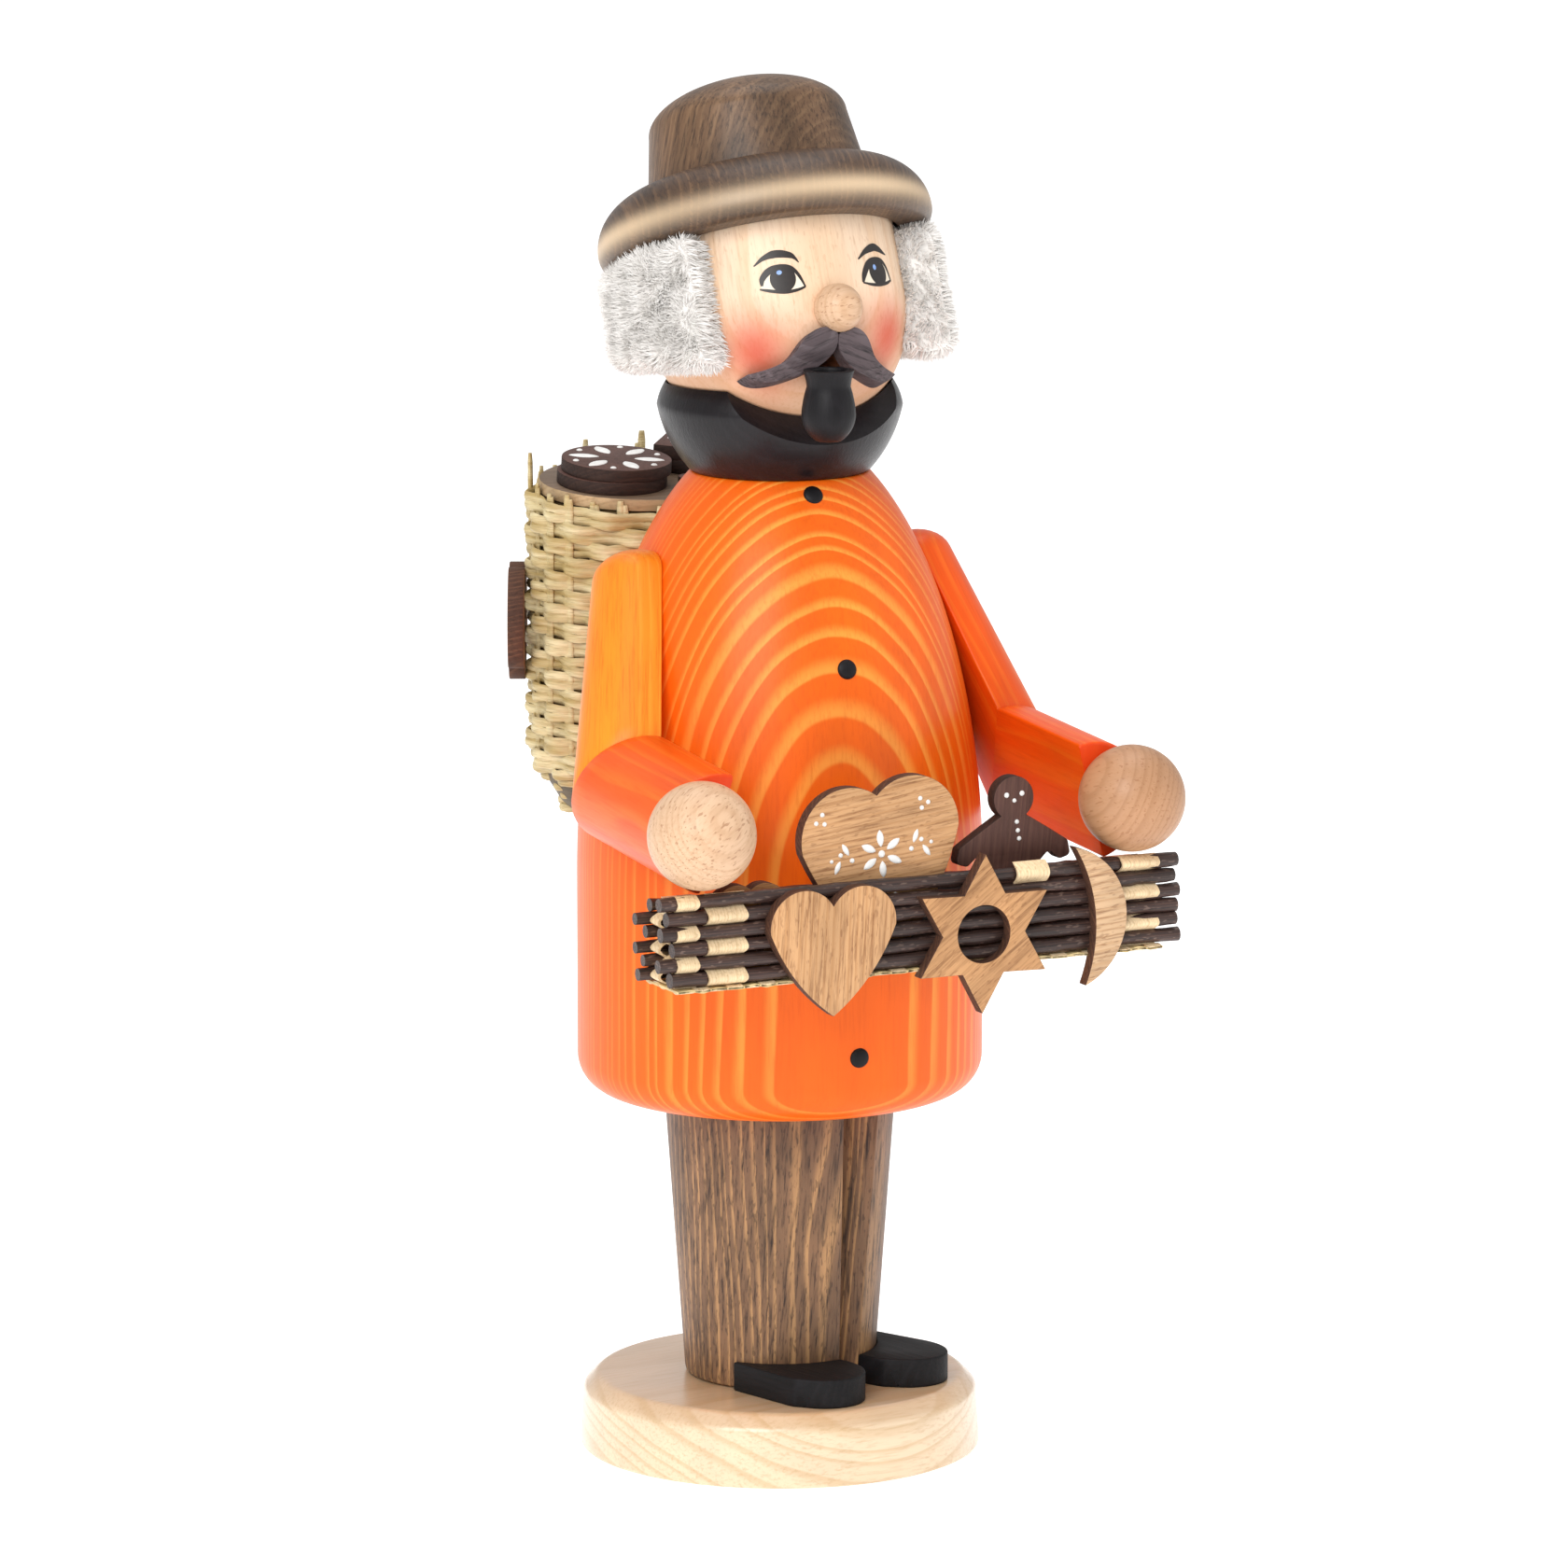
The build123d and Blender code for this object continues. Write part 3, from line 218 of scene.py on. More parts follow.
# %% Wood material
def wood(name, early, late, pith, along=(0, 0, 1), ring=1.0, waver=3.0, contrast=1.0, streak="#3A2A1C",
         streaks=0.25, fleck="#8A5A38", flecks=0.0, mottle=0.3, rough=0.5, gloss=0.0, relief=0.15, seed=0.0,
         shine=0.35):
    """Stained, glazed or bare wood. The pith is a point in millimetres, along is the way of the grain."""
    material, tree, shader, place = new_material(name)
    turn = Vector(along).to_track_quat("Z", "Y").to_euler()
    placed = add(tree, "ShaderNodeMapping", {"Vector": place, "Location": [c * MM for c in pith],
                                             "Rotation": turn, "Scale": (MM, MM, MM)}, vector_type="TEXTURE")
    grain = add(tree, "ShaderNodeGroup", node_tree=rings)
    tree.links.new(placed.outputs[0], grain.inputs["Place"])
    for key, value in (("Ring width", ring), ("Waver", waver), ("Seed", seed)):
        grain.inputs[key].default_value = value
    late_lines, fibre, spots, clouds = grain.outputs
    share = add(tree, "ShaderNodeMath", {0: late_lines, 1: contrast}, operation="MULTIPLY")
    thin = add(tree, "ShaderNodeMapRange", {"Value": fibre, "From Min": 0.48, "From Max": 0.70,
                                            "To Max": streaks})
    layers = [(share, late), (thin, streak)]
    if flecks:
        layers.append((add(tree, "ShaderNodeMath", {0: spots, 1: flecks}, operation="MULTIPLY"), fleck))
    colour = linear(early)
    for mask, hex_colour in layers:
        colour = add(tree, "ShaderNodeMix", {"Factor": mask, "A": colour, "B": linear(hex_colour)},
                     data_type="RGBA").outputs["Result"]
    shade = add(tree, "ShaderNodeMapRange", {"Value": clouds, "From Min": 0.3, "From Max": 0.7,
                                             "To Min": 1 - mottle, "To Max": 1 + mottle / 2})
    colour = add(tree, "ShaderNodeVectorMath", {0: colour, "Scale": shade}, operation="SCALE")
    sheen = add(tree, "ShaderNodeMapRange", {"Value": fibre, "To Min": rough - 0.08, "To Max": rough + 0.12})
    bump = add(tree, "ShaderNodeBump", {"Height": fibre, "Strength": relief, "Distance": 0.2 * MM})
    for key, node in (("Base Color", colour), ("Roughness", sheen), ("Normal", bump)):
        tree.links.new(node.outputs[0], shader[key])
    for key, value in (("IOR", 1.5), ("Specular IOR Level", shine), ("Coat Weight", gloss),
                       ("Coat Roughness", 0.25)):
        shader[key].default_value = value
    return material


def tint(material, attribute, hex_colour, most=1.0):
    """Lays a colour over a material where the mesh's own attribute asks for it."""
    tree = material.node_tree
    base = tree.nodes["Principled BSDF"].inputs["Base Color"]
    before = base.links[0].from_socket
    mask = add(tree, "ShaderNodeAttribute", attribute_name=attribute)
    share = add(tree, "ShaderNodeMath", {0: mask.outputs["Fac"], 1: most}, operation="MULTIPLY")
    over = add(tree, "ShaderNodeMix", {"Factor": share, "A": before, "B": linear(hex_colour)},
               data_type="RGBA")
    tree.links.new(over.outputs["Result"], base)


# %% [markdown]
# ## Making turned pieces
# A lathe makes a form from one outline, and so does this helper: it turns a list of (radius, height)
# points. Sharp corners are broken with a small arc first, because a turner always takes the edge off,
# and a corner that catches the light is what makes a piece look real.

# %% Helpers for meshes
SEGMENTS = 192
UPRIGHT = Matrix.Identity(4)


def arc(centre, x_radius, y_radius, start, end, steps=12):
    """Points on part of a circle or an ellipse, from one angle in degrees to another."""
    angles = np.radians(np.linspace(start, end, steps + 1))
    return [(centre[0] + x_radius * cos(a), centre[1] + y_radius * sin(a)) for a in angles]


def near(angle, other):
    """The same direction as an angle that lies within half a turn of the other one, in degrees."""
    return other + (angle - other + 180) % 360 - 180


def curve_through(a, b, c, steps=12):
    """Points on the circle through three points, from the first to the last."""
    (ax, ay), (bx, by), (cx, cy) = a, b, c
    d = 2 * (ax * (by - cy) + bx * (cy - ay) + cx * (ay - by))
    ux = ((ax**2 + ay**2) * (by - cy) + (bx**2 + by**2) * (cy - ay) + (cx**2 + cy**2) * (ay - by)) / d
    uy = ((ax**2 + ay**2) * (cx - bx) + (bx**2 + by**2) * (ax - cx) + (cx**2 + cy**2) * (bx - ax)) / d
    radius = sqrt((ax - ux) ** 2 + (ay - uy) ** 2)
    first, middle, last = (degrees(atan2(y - uy, x - ux)) for x, y in (a, b, c))
    return arc((ux, uy), radius, radius, first, near(last, near(middle, first)), steps)


def softened(points, size, steps=3):
    """Breaks the corners of an open line of points with small arcs."""
    line = [np.array(p, float) for p in points]
    result = [line[0]]
    for before, corner, after in zip(line, line[1:], line[2:]):
        back, ahead = before - corner, after - corner
        lb, la = np.linalg.norm(back), np.linalg.norm(ahead)
        if lb < 1e-9 or la < 1e-9:
            continue
        turn = acos(max(-1, min(1, float(back @ ahead) / lb / la)))
        if turn > radians(150):
            result.append(corner)
            continue
        cut = min(size, lb / 2, la / 2)
        start, end = corner + back / lb * cut, corner + ahead / la * cut
        for k in range(steps + 1):
            s = k / steps
            result.append((1 - s) ** 2 * start + 2 * s * (1 - s) * corner + s**2 * end)
    return [tuple(p) for p in result + [line[-1]]]


def new_object(name, vertices, faces):
    """A mesh object from points in millimetres, with its faces turned outwards and its curves smooth."""
    mesh = bpy.data.meshes.new(name)
    mesh.from_pydata([tuple(c * MM for c in v) for v in vertices], [], faces)
    piece = linked(name, mesh)
    tidy_mesh(piece)
    return piece


def tidy_mesh(piece, sharp=35.0):
    shape = bmesh.new()
    shape.from_mesh(piece.data)
    bmesh.ops.remove_doubles(shape, verts=shape.verts, dist=1e-7)
    bmesh.ops.recalc_face_normals(shape, faces=shape.faces)
    shape.to_mesh(piece.data)
    shape.free()
    piece.data.shade_smooth()
    piece.data.set_sharp_from_angle(angle=radians(sharp))


def loft(name, loops, closed_ring=False, place=UPRIGHT):
    """Skins a row of loops. A loop of one point is a pole. A closed ring joins the last loop to the first."""
    vertices, starts = [], []
    for loop in loops:
        starts.append(len(vertices))
        vertices.extend(place @ Vector(p) for p in loop)
    faces = []
    pairs = list(zip(range(len(loops)), range(1, len(loops))))
    if closed_ring:
        pairs.append((len(loops) - 1, 0))
    for a, b in pairs:
        na, nb = len(loops[a]), len(loops[b])
        count = max(na, nb)
        for k in range(count):
            i, j = k, (k + 1) % count
            if na == 1:
                faces.append((starts[a], starts[b] + j, starts[b] + i))
            elif nb == 1:
                faces.append((starts[a] + i, starts[a] + j, starts[b]))
            else:
                faces.append((starts[a] + i, starts[a] + j, starts[b] + j, starts[b] + i))
    if not closed_ring:
        for end in (0, len(loops) - 1):
            if len(loops[end]) > 1:
                faces.append(tuple(range(starts[end], starts[end] + len(loops[end]))))
    return new_object(name, vertices, faces)


def turned(name, profile, place=UPRIGHT, closed_ring=False, segments=SEGMENTS):
    """Turns an outline of (radius, height) about the Z axis of a place."""
    loops = []
    for radius, height in profile:
        if radius < 1e-6:
            loops.append([(0, 0, height)])
        else:
            loops.append([(radius * cos(2 * pi * k / segments), radius * sin(2 * pi * k / segments), height)
                          for k in range(segments)])
    return loft(name, loops, closed_ring, place)


def baked(piece):
    """Applies a piece's modifiers to its mesh."""
    bpy.context.view_layer.update()
    evaluated = piece.evaluated_get(bpy.context.evaluated_depsgraph_get())
    mesh = bpy.data.meshes.new_from_object(evaluated)
    piece.modifiers.clear()
    piece.data = mesh
    return piece


def cut_away(piece, tool):
    """Takes the tool's form out of a piece."""
    knife = piece.modifiers.new("cut", "BOOLEAN")
    knife.operation = "DIFFERENCE"
    knife.solver = "EXACT"
    knife.object = tool
    baked(piece)
    bpy.data.objects.remove(tool)
    tidy_mesh(piece)


def copied(name, node, edge=0.15, sharp=35.0):
    """A merged copy of a CAD node, with its flat faces joined again and its edges broken."""
    shape = bmesh.new()
    shape.from_mesh(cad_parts[node].data)
    bmesh.ops.remove_doubles(shape, verts=shape.verts, dist=1e-6)
    bmesh.ops.dissolve_limit(shape, angle_limit=radians(1.0), verts=shape.verts, edges=shape.edges)
    mesh = bpy.data.meshes.new(name)
    shape.to_mesh(mesh)
    shape.free()
    piece = linked(name, mesh)
    if edge:
        rounding = piece.modifiers.new("edge", "BEVEL")
        rounding.width = edge * MM
        rounding.segments = 2
        rounding.limit_method = "ANGLE"
        rounding.angle_limit = radians(sharp)
        baked(piece)
    tidy_mesh(piece, sharp)
    return piece


def paint_mask(piece, attribute, rule):
    """Stores a value between 0 and 1 at each point, by a rule of its place in millimetres."""
    places = np.empty(len(piece.data.vertices) * 3)
    piece.data.vertices.foreach_get("co", places)
    values = np.clip(rule(places.reshape(-1, 3) / MM), 0, 1)
    layer = piece.data.attributes.new(attribute, "FLOAT", "POINT")
    layer.data.foreach_set("value", values.astype(np.float32))


def finish(piece, body, slot, *materials, node=None):
    """Gives a piece its materials, lets it ride on a body and hides the CAD node that it stands for."""
    for material in materials:
        piece.data.materials.append(material)
    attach(piece, body)
    if node:
        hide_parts(node)
    print(piece.name, len(piece.data.polygons), "faces")

# %% [markdown]
# ## The base plate
# A disc of maple, turned with a bevel and given a satin lacquer. The board lies flat on the lathe, so its
# grain runs across, and the rim shows side grain and end grain by turns. One outline on the lathe gives
# the whole plate, with the blind hole for the dowel that carries the legs.

# %% Base plate
base_profile = softened([
    (0, 0), (27.5, 0), (27.1, 8.1), (25.1, 10.0), (4.05, 10.0), (4.05, 4.0), (0, 4.0)], 0.6)
lacquered_maple = wood("lacquered_maple", "#E6CFAE", "#CFAE82", pith=(0, 20, -60), along=(1, 0.15, 0),
                       ring=2.1, contrast=0.6, streak="#BC9462", streaks=0.45, mottle=0.1, rough=0.3,
                       gloss=1.0, relief=0.08, seed=3.0)
base_plate = turned("base_plate", base_profile)
# Painted reflection: the top face and its bevel get a darker tan that stands for the dark trousers mirrored
# in the lacquer.
paint_mask(base_plate, "lacquered_top", lambda points: (points[:, 2] - 7.6) / 1.2)
tint(lacquered_maple, "lacquered_top", "#C8A074", 0.5)
finish(base_plate, "stand", "natural_beech", lacquered_maple, node="base_plate")

# %% [markdown]
# ## Trousers
# Both legs are one turned cone with a V sawn down the front, which reads as the gap between the legs. The
# section is the same V in a circle that grows with height, so each loop is worked out as a distance from
# the axis for each direction, and the loops are skinned. The spigot on top carries the coat.

# %% Trousers
STAND_TURN = radians(20)
CREASE_REACH = 10.3
CREASE_HALF_ANGLE = radians(34)
LEG_TURNS = 256


def leg_loop(radius, height, creased=True):
    """A circle with the crease cut into it. The crease looks along -Y before the legs are turned."""
    angles = np.linspace(-pi, pi, LEG_TURNS, endpoint=False)
    if creased:
        sine = sin(pi - CREASE_HALF_ANGLE) * CREASE_REACH / radius
        half = CREASE_HALF_ANGLE - asin(sine) if sine < 1 else 0
        edge = int(round(LEG_TURNS * 0.07))
        middle = LEG_TURNS // 2
        angles[middle - edge:middle + edge + 1] = np.linspace(-half, half, 2 * edge + 1)
        rest = np.linspace(half, 2 * pi - half, LEG_TURNS - 2 * edge)
        angles = np.concatenate([np.linspace(-half, half, 2 * edge + 1), rest[1:-1]])
    loop = []
    for a in angles:
        reach = radius
        if creased and abs(a) < half + 1e-9:
            reach = CREASE_REACH * sin(CREASE_HALF_ANGLE) / sin(CREASE_HALF_ANGLE - abs(a))
        x, y = reach * sin(a), -reach * cos(a)
        loop.append((x * cos(STAND_TURN) - y * sin(STAND_TURN), x * sin(STAND_TURN) + y * cos(STAND_TURN),
                     height))
    return loop


leg_loops = [leg_loop(4.05, 16.0, False), leg_loop(4.05, 10.0, False)]
leg_loops += [leg_loop(12.1 + s, 10.0 + h) for s, h in ((0, 0), (0.5, 0.12), (0.85, 0.4), (1.0, 1.0))]
leg_loops += [leg_loop(13.1 + 2.8 * share, 11 + 39 * share) for share in np.linspace(0.05, 0.99, 20)]
leg_loops += [leg_loop(15.9, 50.0), leg_loop(11.92, 50.0), leg_loop(11.92, 59.2, False),
              leg_loop(11.12, 60.0, False), leg_loop(0.65, 60.0, False), leg_loop(0.65, 53.0, False)]
leg_loops = [[(0, 0, 16.0)]] + leg_loops + [[(0, 0, 53.0)]]
stained_trousers = wood("brown_stained_pine", "#7A5A40", "#B68A5C", pith=(-30, 46, 0), along=(0.05, -0.03, 1),
                        ring=1.3, waver=9.0, contrast=0.8, streak="#2E1E16", streaks=1.0, mottle=0.4,
                        rough=0.5, flecks=0.5, fleck="#2C1D14", gloss=0.08, relief=0.25, seed=7.0)
finish(loft("trousers", leg_loops), "stand", "brown_stain", stained_trousers, node="trousers")

# %% [markdown]
# ## Black paint
# Shoes, collar, buttons and pipe are dipped in black matt paint. The wood's pores still print through, so
# the paint has a fine grain in its bump and its roughness, and it is a warm dark grey, never full black.

# %% Black paint
def black_paint(name, hex_colour="#121013", rough=0.45, along=(0, 0, 1), seed=0.0, gloss=0.0):
    return wood(name, hex_colour, "#1E1B1F", pith=(20, 60, 0), along=along, ring=1.4, contrast=0.35,
                streak="#0A090A", streaks=0.5, mottle=0.25, rough=rough, gloss=gloss, relief=0.3, seed=seed,
                shine=0.22)


shoe_paint = black_paint("black_painted_board", "#121113", 0.58, along=(0.3, -1, 0), seed=2.0)
collar_paint = black_paint("black_lacquered_beech", "#151014", 0.33, seed=6.0, gloss=0.2)
turned_paint = black_paint("black_painted_beech", seed=5.0)

# %% [markdown]
# ## Shoes and tin plate
# The shoes are copies of the construction solids with broken edges. The tin plate and its nail are bare
# metal. Its fine scratches all run one way and change both the colour and the gloss.

# %% Shoes, incense plate and nail
for side in ("right", "left"):
    finish(copied(side + "_shoe", side + "_shoe", edge=0.35), "stand", "black_paint", shoe_paint,
           node=side + "_shoe")


def worked_metal(name, hex_colour, rough, scratch_turn):
    """Tinplate or steel: nearly plain metal with the fine scratches of handling."""
    material, tree, shader, place = new_material(name)
    drawn = add(tree, "ShaderNodeMapping", {"Vector": place, "Rotation": (0, 0, scratch_turn),
                                            "Scale": (400, 9000, 9000)})
    scratch = add(tree, "ShaderNodeTexNoise", {"Vector": drawn, "Scale": 1.0, "Detail": 3.0})
    dull = add(tree, "ShaderNodeMapRange", {"Value": scratch, "To Min": rough - 0.1, "To Max": rough + 0.2})
    colour = add(tree, "ShaderNodeMix", {"Factor": scratch, "A": linear(hex_colour), "B": linear("#8F8C86")},
                 data_type="RGBA")
    tree.links.new(colour.outputs["Result"], shader["Base Color"])
    tree.links.new(dull.outputs[0], shader["Roughness"])
    shader["Metallic"].default_value = 1.0
    return material


plate_profile = softened([(0.65, 60.0), (10.5, 60.0), (10.5, 61.6), (10.1, 61.6), (10.1, 60.4), (0.65, 60.4)],
                         0.15)
finish(turned("incense_plate", plate_profile, closed_ring=True), "stand", "tinplate",
       worked_metal("pressed_tinplate", "#C9C6BE", 0.3, 0.4), node="incense_plate")
nail_profile = [(0, 53.0), (0.6, 53.6), (0.6, 60.4), (1.45, 60.4), (1.5, 60.55), (1.2, 60.8), (0, 60.9)]
finish(turned("plate_nail", nail_profile, segments=32), "stand", "nail_steel",
       worked_metal("drawn_nail_steel", "#A9A7A3", 0.35, 0.0), node="plate_nail")

# %% [markdown]
# ## The coat
# The coat is turned from pine and glazed orange. The soft earlywood takes much of the glaze and goes
# red-orange, the hard latewood takes little and stays yellow, and the swelling form cuts the rings into
# nested arches down the front. It is hollow: the wall is one closed ring outline, and the air hole is
# bored through the back of it.

# %% Coat
COAT_RADIUS = 27.75
SHOULDER_START = 80.0
COAT_TOP = 135.5
SHOULDER_AXIS = (COAT_TOP - SHOULDER_START) / sqrt(1 - (12.15 / COAT_RADIUS) ** 2)
top_angle = degrees(asin((COAT_TOP - SHOULDER_START) / SHOULDER_AXIS))

coat_outside = arc((22.75, 55.0), 5.0, 5.0, -90, 0, 14)[:-1]
coat_outside += [(COAT_RADIUS, h) for h in np.linspace(55, SHOULDER_START, 10)[:-1]]
coat_outside += arc((0, SHOULDER_START), COAT_RADIUS, SHOULDER_AXIS, 0, top_angle, 60)
coat_inside = [(5.05, COAT_TOP), (5.05, 127.5), (2.75, 127.5), (2.75, 120.0), (12.0, 116.0), (12.0, 50.0)]
coat_profile = softened(coat_outside + coat_inside, 0.35)
coat = turned("coat", coat_profile, closed_ring=True, segments=256)
air_drill = turned("air_drill", [(0, 0), (2.4, 0), (2.4, 30), (0, 30)], segments=48,
                   place=Matrix.Translation((0, 5, 66)) @ Matrix.Rotation(radians(-90), 4, "X"))
cut_away(coat, air_drill)


def orange_glaze(name, pith, along=(0, 0, 1), ring=1.35, seed=0.0, waver=2.4, early="#F0660E",
                 late="#FFAC48", contrast=0.66, mottle=0.12, streaks=0.3):
    return wood(name, early, late, pith=pith, along=along, ring=ring, waver=waver, contrast=contrast,
                streak="#D24808", streaks=streaks, mottle=mottle, rough=0.36, gloss=0.1, relief=0.1,
                seed=seed, shine=0.2)


def pooled_glaze(points):
    """Painted shade: a deeper orange on the two flanks and the back of the coat and in a band along its lower
    edge.
    """
    side = np.abs(np.arctan2(points[:, 0] + 3, -points[:, 1])) / radians(75)
    return np.maximum(np.clip(side - 0.3, 0, 1) * 1.3, np.exp(-(points[:, 2] - 50) / 11.0) * 0.8)


# Painted shade on the flanks, the back and the lower edge of the coat.
paint_mask(coat, "pooled_glaze", pooled_glaze)
coat_glaze = orange_glaze("orange_glazed_pine", (11, 89, 0), seed=1.0)
tint(coat_glaze, "pooled_glaze", "#EC5E08", 0.7)
finish(coat, "figure", "orange_glaze", coat_glaze, node="coat")

# %% [markdown]
# ## Buttons
# Four small wooden studs are pushed into the coat. They are the same stud four times, so Geometry Nodes
# sets one lathe-turned stud on four points and turns it square to the coat there.

# %% Buttons
def geometry_tree(name, **kinds):
    """A Geometry Nodes tree and its named inputs. Each is given with its kind."""
    tree = bpy.data.node_groups.new(name, "GeometryNodeTree")
    for key, kind in kinds.items():
        tree.interface.new_socket(key.replace("_", " "), in_out="INPUT", socket_type="NodeSocket" + kind)
    tree.interface.new_socket("Geometry", in_out="OUTPUT", socket_type="NodeSocketGeometry")
    return tree, add(tree, "NodeGroupInput").outputs


def end_tree(tree, geometry, material):
    """Ends a tree with plain geometry and its material, because an export drops instances."""
    real = add(tree, "GeometryNodeRealizeInstances", {"Geometry": geometry})
    dressed = add(tree, "GeometryNodeSetMaterial", {"Geometry": real, "Material": material})
    add(tree, "NodeGroupOutput", {"Geometry": dressed})
    return tree


def instance_tree(name):
    """Sets one piece on each point of the modified mesh, turned so that its Z follows the point's way."""
    tree, given = geometry_tree(name, Geometry="Geometry", Piece="Object", Finish="Material")
    shape = add(tree, "GeometryNodeObjectInfo", {"Object": given["Piece"]}).outputs["Geometry"]
    way, side, size = [add(tree, "GeometryNodeInputNamedAttribute", {"Name": layer}, data_type="FLOAT_VECTOR")
                       for layer in ("way", "side", "size")]
    turn = add(tree, "FunctionNodeAxesToRotation", {0: way, 1: side})
    set_out = add(tree, "GeometryNodeInstanceOnPoints", {"Points": given["Geometry"], "Instance": shape,
                                                         "Rotation": turn, "Scale": size})
    return end_tree(tree, set_out, given["Finish"])


set_pieces = instance_tree("set_pieces_on_points")


def feed(piece, tree, **values):
    """Adds a Geometry Nodes modifier, sets its inputs by their identifiers and applies it."""
    modifier = piece.modifiers.new(tree.name, "NODES")
    modifier.node_group = tree
    for item in tree.interface.items_tree:
        key = item.name.replace(" ", "_")
        if item.in_out == "INPUT" and key in values:
            modifier[item.identifier] = values[key]
    return baked(piece)


def placed_copies(name, pattern, spots, material):
    """Copies of a small piece. Each spot gives its place, its Z way, its X way and its size."""
    mesh = bpy.data.meshes.new(name)
    mesh.from_pydata([tuple(c * MM for c in spot[0]) for spot in spots], [], [])
    for layer, part in (("way", 1), ("side", 2), ("size", 3)):
        data = mesh.attributes.new(layer, "FLOAT_VECTOR", "POINT").data
        data.foreach_set("vector", [float(c) for spot in spots for c in spot[part]])
    return feed(linked(name, mesh), set_pieces, Piece=pattern, Finish=material)


def coat_radius_at(height):
    above = max(0, height - SHOULDER_START)
    return COAT_RADIUS * sqrt(1 - (above / SHOULDER_AXIS) ** 2)


stud = turned("stud", [(0, -2.5), (1.2, -2.5), (1.35, -2.3), (1.35, 0)] + arc((0, 0), 1.35, 0.5, 0, 90, 6),
              segments=32)
spots = []
for share in (0.108, 0.415, 0.72, 0.98):
    height = 50 + 85.5 * share
    radius = coat_radius_at(height)
    rise = max(0, height - SHOULDER_START) * (COAT_RADIUS / SHOULDER_AXIS) ** 2
    turn = -asin(1.6 / radius)
    outwards = Vector((radius * sin(turn), -radius * cos(turn), rise)).normalized()
    spots.append(((radius * sin(turn), -radius * cos(turn), height), outwards, (cos(turn), sin(turn), 0),
                  (1, 1, 1)))
buttons = placed_copies("coat_buttons", stud, spots, turned_paint)
bpy.data.objects.remove(stud)
finish(buttons, "figure", "black_paint", node="coat_buttons")

# %% [markdown]
# ## The head
# The head is limewood, turned round and bare, and set on the neck with a tilt, so that the figure looks up
# a little. A second axis with its origin in the middle of the head keeps every part of the face simple:
# t is the height along that axis, and phi is the angle from the face's middle to the figure's left.

# %% Head
HEAD_CENTRE = 155.5
TILT = radians(21)
HEAD_RADIUS = 17.5
head_place = Matrix.Translation((0, 0, HEAD_CENTRE)) @ Matrix.Rotation(-TILT, 4, "X")
BROW = (17.2, 12.0)
CHIN_START, CHIN_HEIGHT = 1.0, 17.3
CHIN_FLAT = CHIN_HEIGHT * 0.94


def head_profile(grow=0.0, fine=1):
    """Outline of the head about its own axis, or of the same form grown on every side."""
    radius, reach, flat = HEAD_RADIUS + grow, CHIN_HEIGHT + grow, CHIN_FLAT + grow
    cut = degrees(asin(flat / reach))
    brow, top = BROW[0] + grow, BROW[1] + grow
    profile = [(0, CHIN_START - flat)] + arc((0, CHIN_START), radius, reach, -cut, 0, 40 * fine)[:-1]
    temple = ((2 * radius + brow) / 3, (CHIN_START + top) / 2)
    profile += curve_through((radius, CHIN_START), temple, (brow, top), 30 * fine)
    return profile + [(0, top)]


def skin_radius(t):
    """Radius of the head at a height t."""
    outline = head_profile()[1:-1]
    heights, radii = [p[1] for p in outline], [p[0] for p in outline]
    return float(np.interp(t, heights, radii))


def on_head(phi, t, lift=0.0):
    """The point of the head at an angle in degrees and a height, raised square to the skin."""
    step = 0.05
    slope = (skin_radius(t + step) - skin_radius(t - step)) / (2 * step)
    length = sqrt(1 + slope**2)
    radius, height = skin_radius(t) + lift / length, t - lift * slope / length
    a = radians(phi)
    return head_place @ Vector((radius * sin(a), -radius * cos(a), height))


def head_coordinates(points):
    """phi in degrees and t for places in millimetres, with their distance from the head's axis."""
    back = head_place.inverted()
    local = points @ np.array(back.to_3x3()).T + np.array(back.translation)
    phi = np.degrees(np.arctan2(local[:, 0], -local[:, 1]))
    return phi, local[:, 2], np.hypot(local[:, 0], local[:, 1])


head = turned("head", softened(head_profile(), 0.4), place=head_place, segments=256)
MOUTH_HEIGHT = 152.3
mouth_drill = turned("mouth_drill", [(0, 2.5), (2.5, 2.5), (2.5, 30), (0, 30)], segments=64,
                     place=Matrix.Translation((0, 0, MOUTH_HEIGHT)) @ Matrix.Rotation(radians(90), 4, "X"))
cut_away(head, mouth_drill)


def blush(points):
    """Two soft airbrushed cheeks."""
    phi, t, _ = head_coordinates(points)
    mask = 0
    for cheek_phi, cheek_t in ((-40, -6.7), (34, -5.8)):
        across = (phi - cheek_phi) * pi / 180 * HEAD_RADIUS
        mask = mask + np.exp(-(across**2 + (t - cheek_t) ** 2 * 1.1) / 2 / 3.4**2)
    return mask


def mouth_inside(points):
    """The bored mouth, painted dark."""
    _, t, radius = head_coordinates(points)
    skin = np.array([skin_radius(v) for v in t])
    near = np.hypot(points[:, 0], points[:, 2] - MOUTH_HEIGHT) < 2.6
    return (near & (radius < skin - 0.05)).astype(float)


paint_mask(head, "blush", blush)
paint_mask(head, "chin_shade", lambda points: (1.0 - head_coordinates(points)[1]) / 9.0)
paint_mask(head, "mouth_inside", mouth_inside)
head_axis = tuple(head_place.to_3x3() @ Vector((0, 0, 1)))
bare_lime = wood("bare_limewood", "#F6D9BC", "#EAC49E", pith=(12, 70, 0), along=head_axis, ring=2.4,
                 contrast=0.6, streak="#C89A70", streaks=0.35, fleck="#C49468", flecks=0.25, mottle=0.07,
                 rough=0.55, relief=0.1, seed=11.0)
tint(bare_lime, "chin_shade", "#D2976F", 0.6)
tint(bare_lime, "blush", "#CC432C", 0.82)
tint(bare_lime, "mouth_inside", "#4A1712", 0.95)
finish(head, "figure", "natural_limewood", bare_lime, node="head")


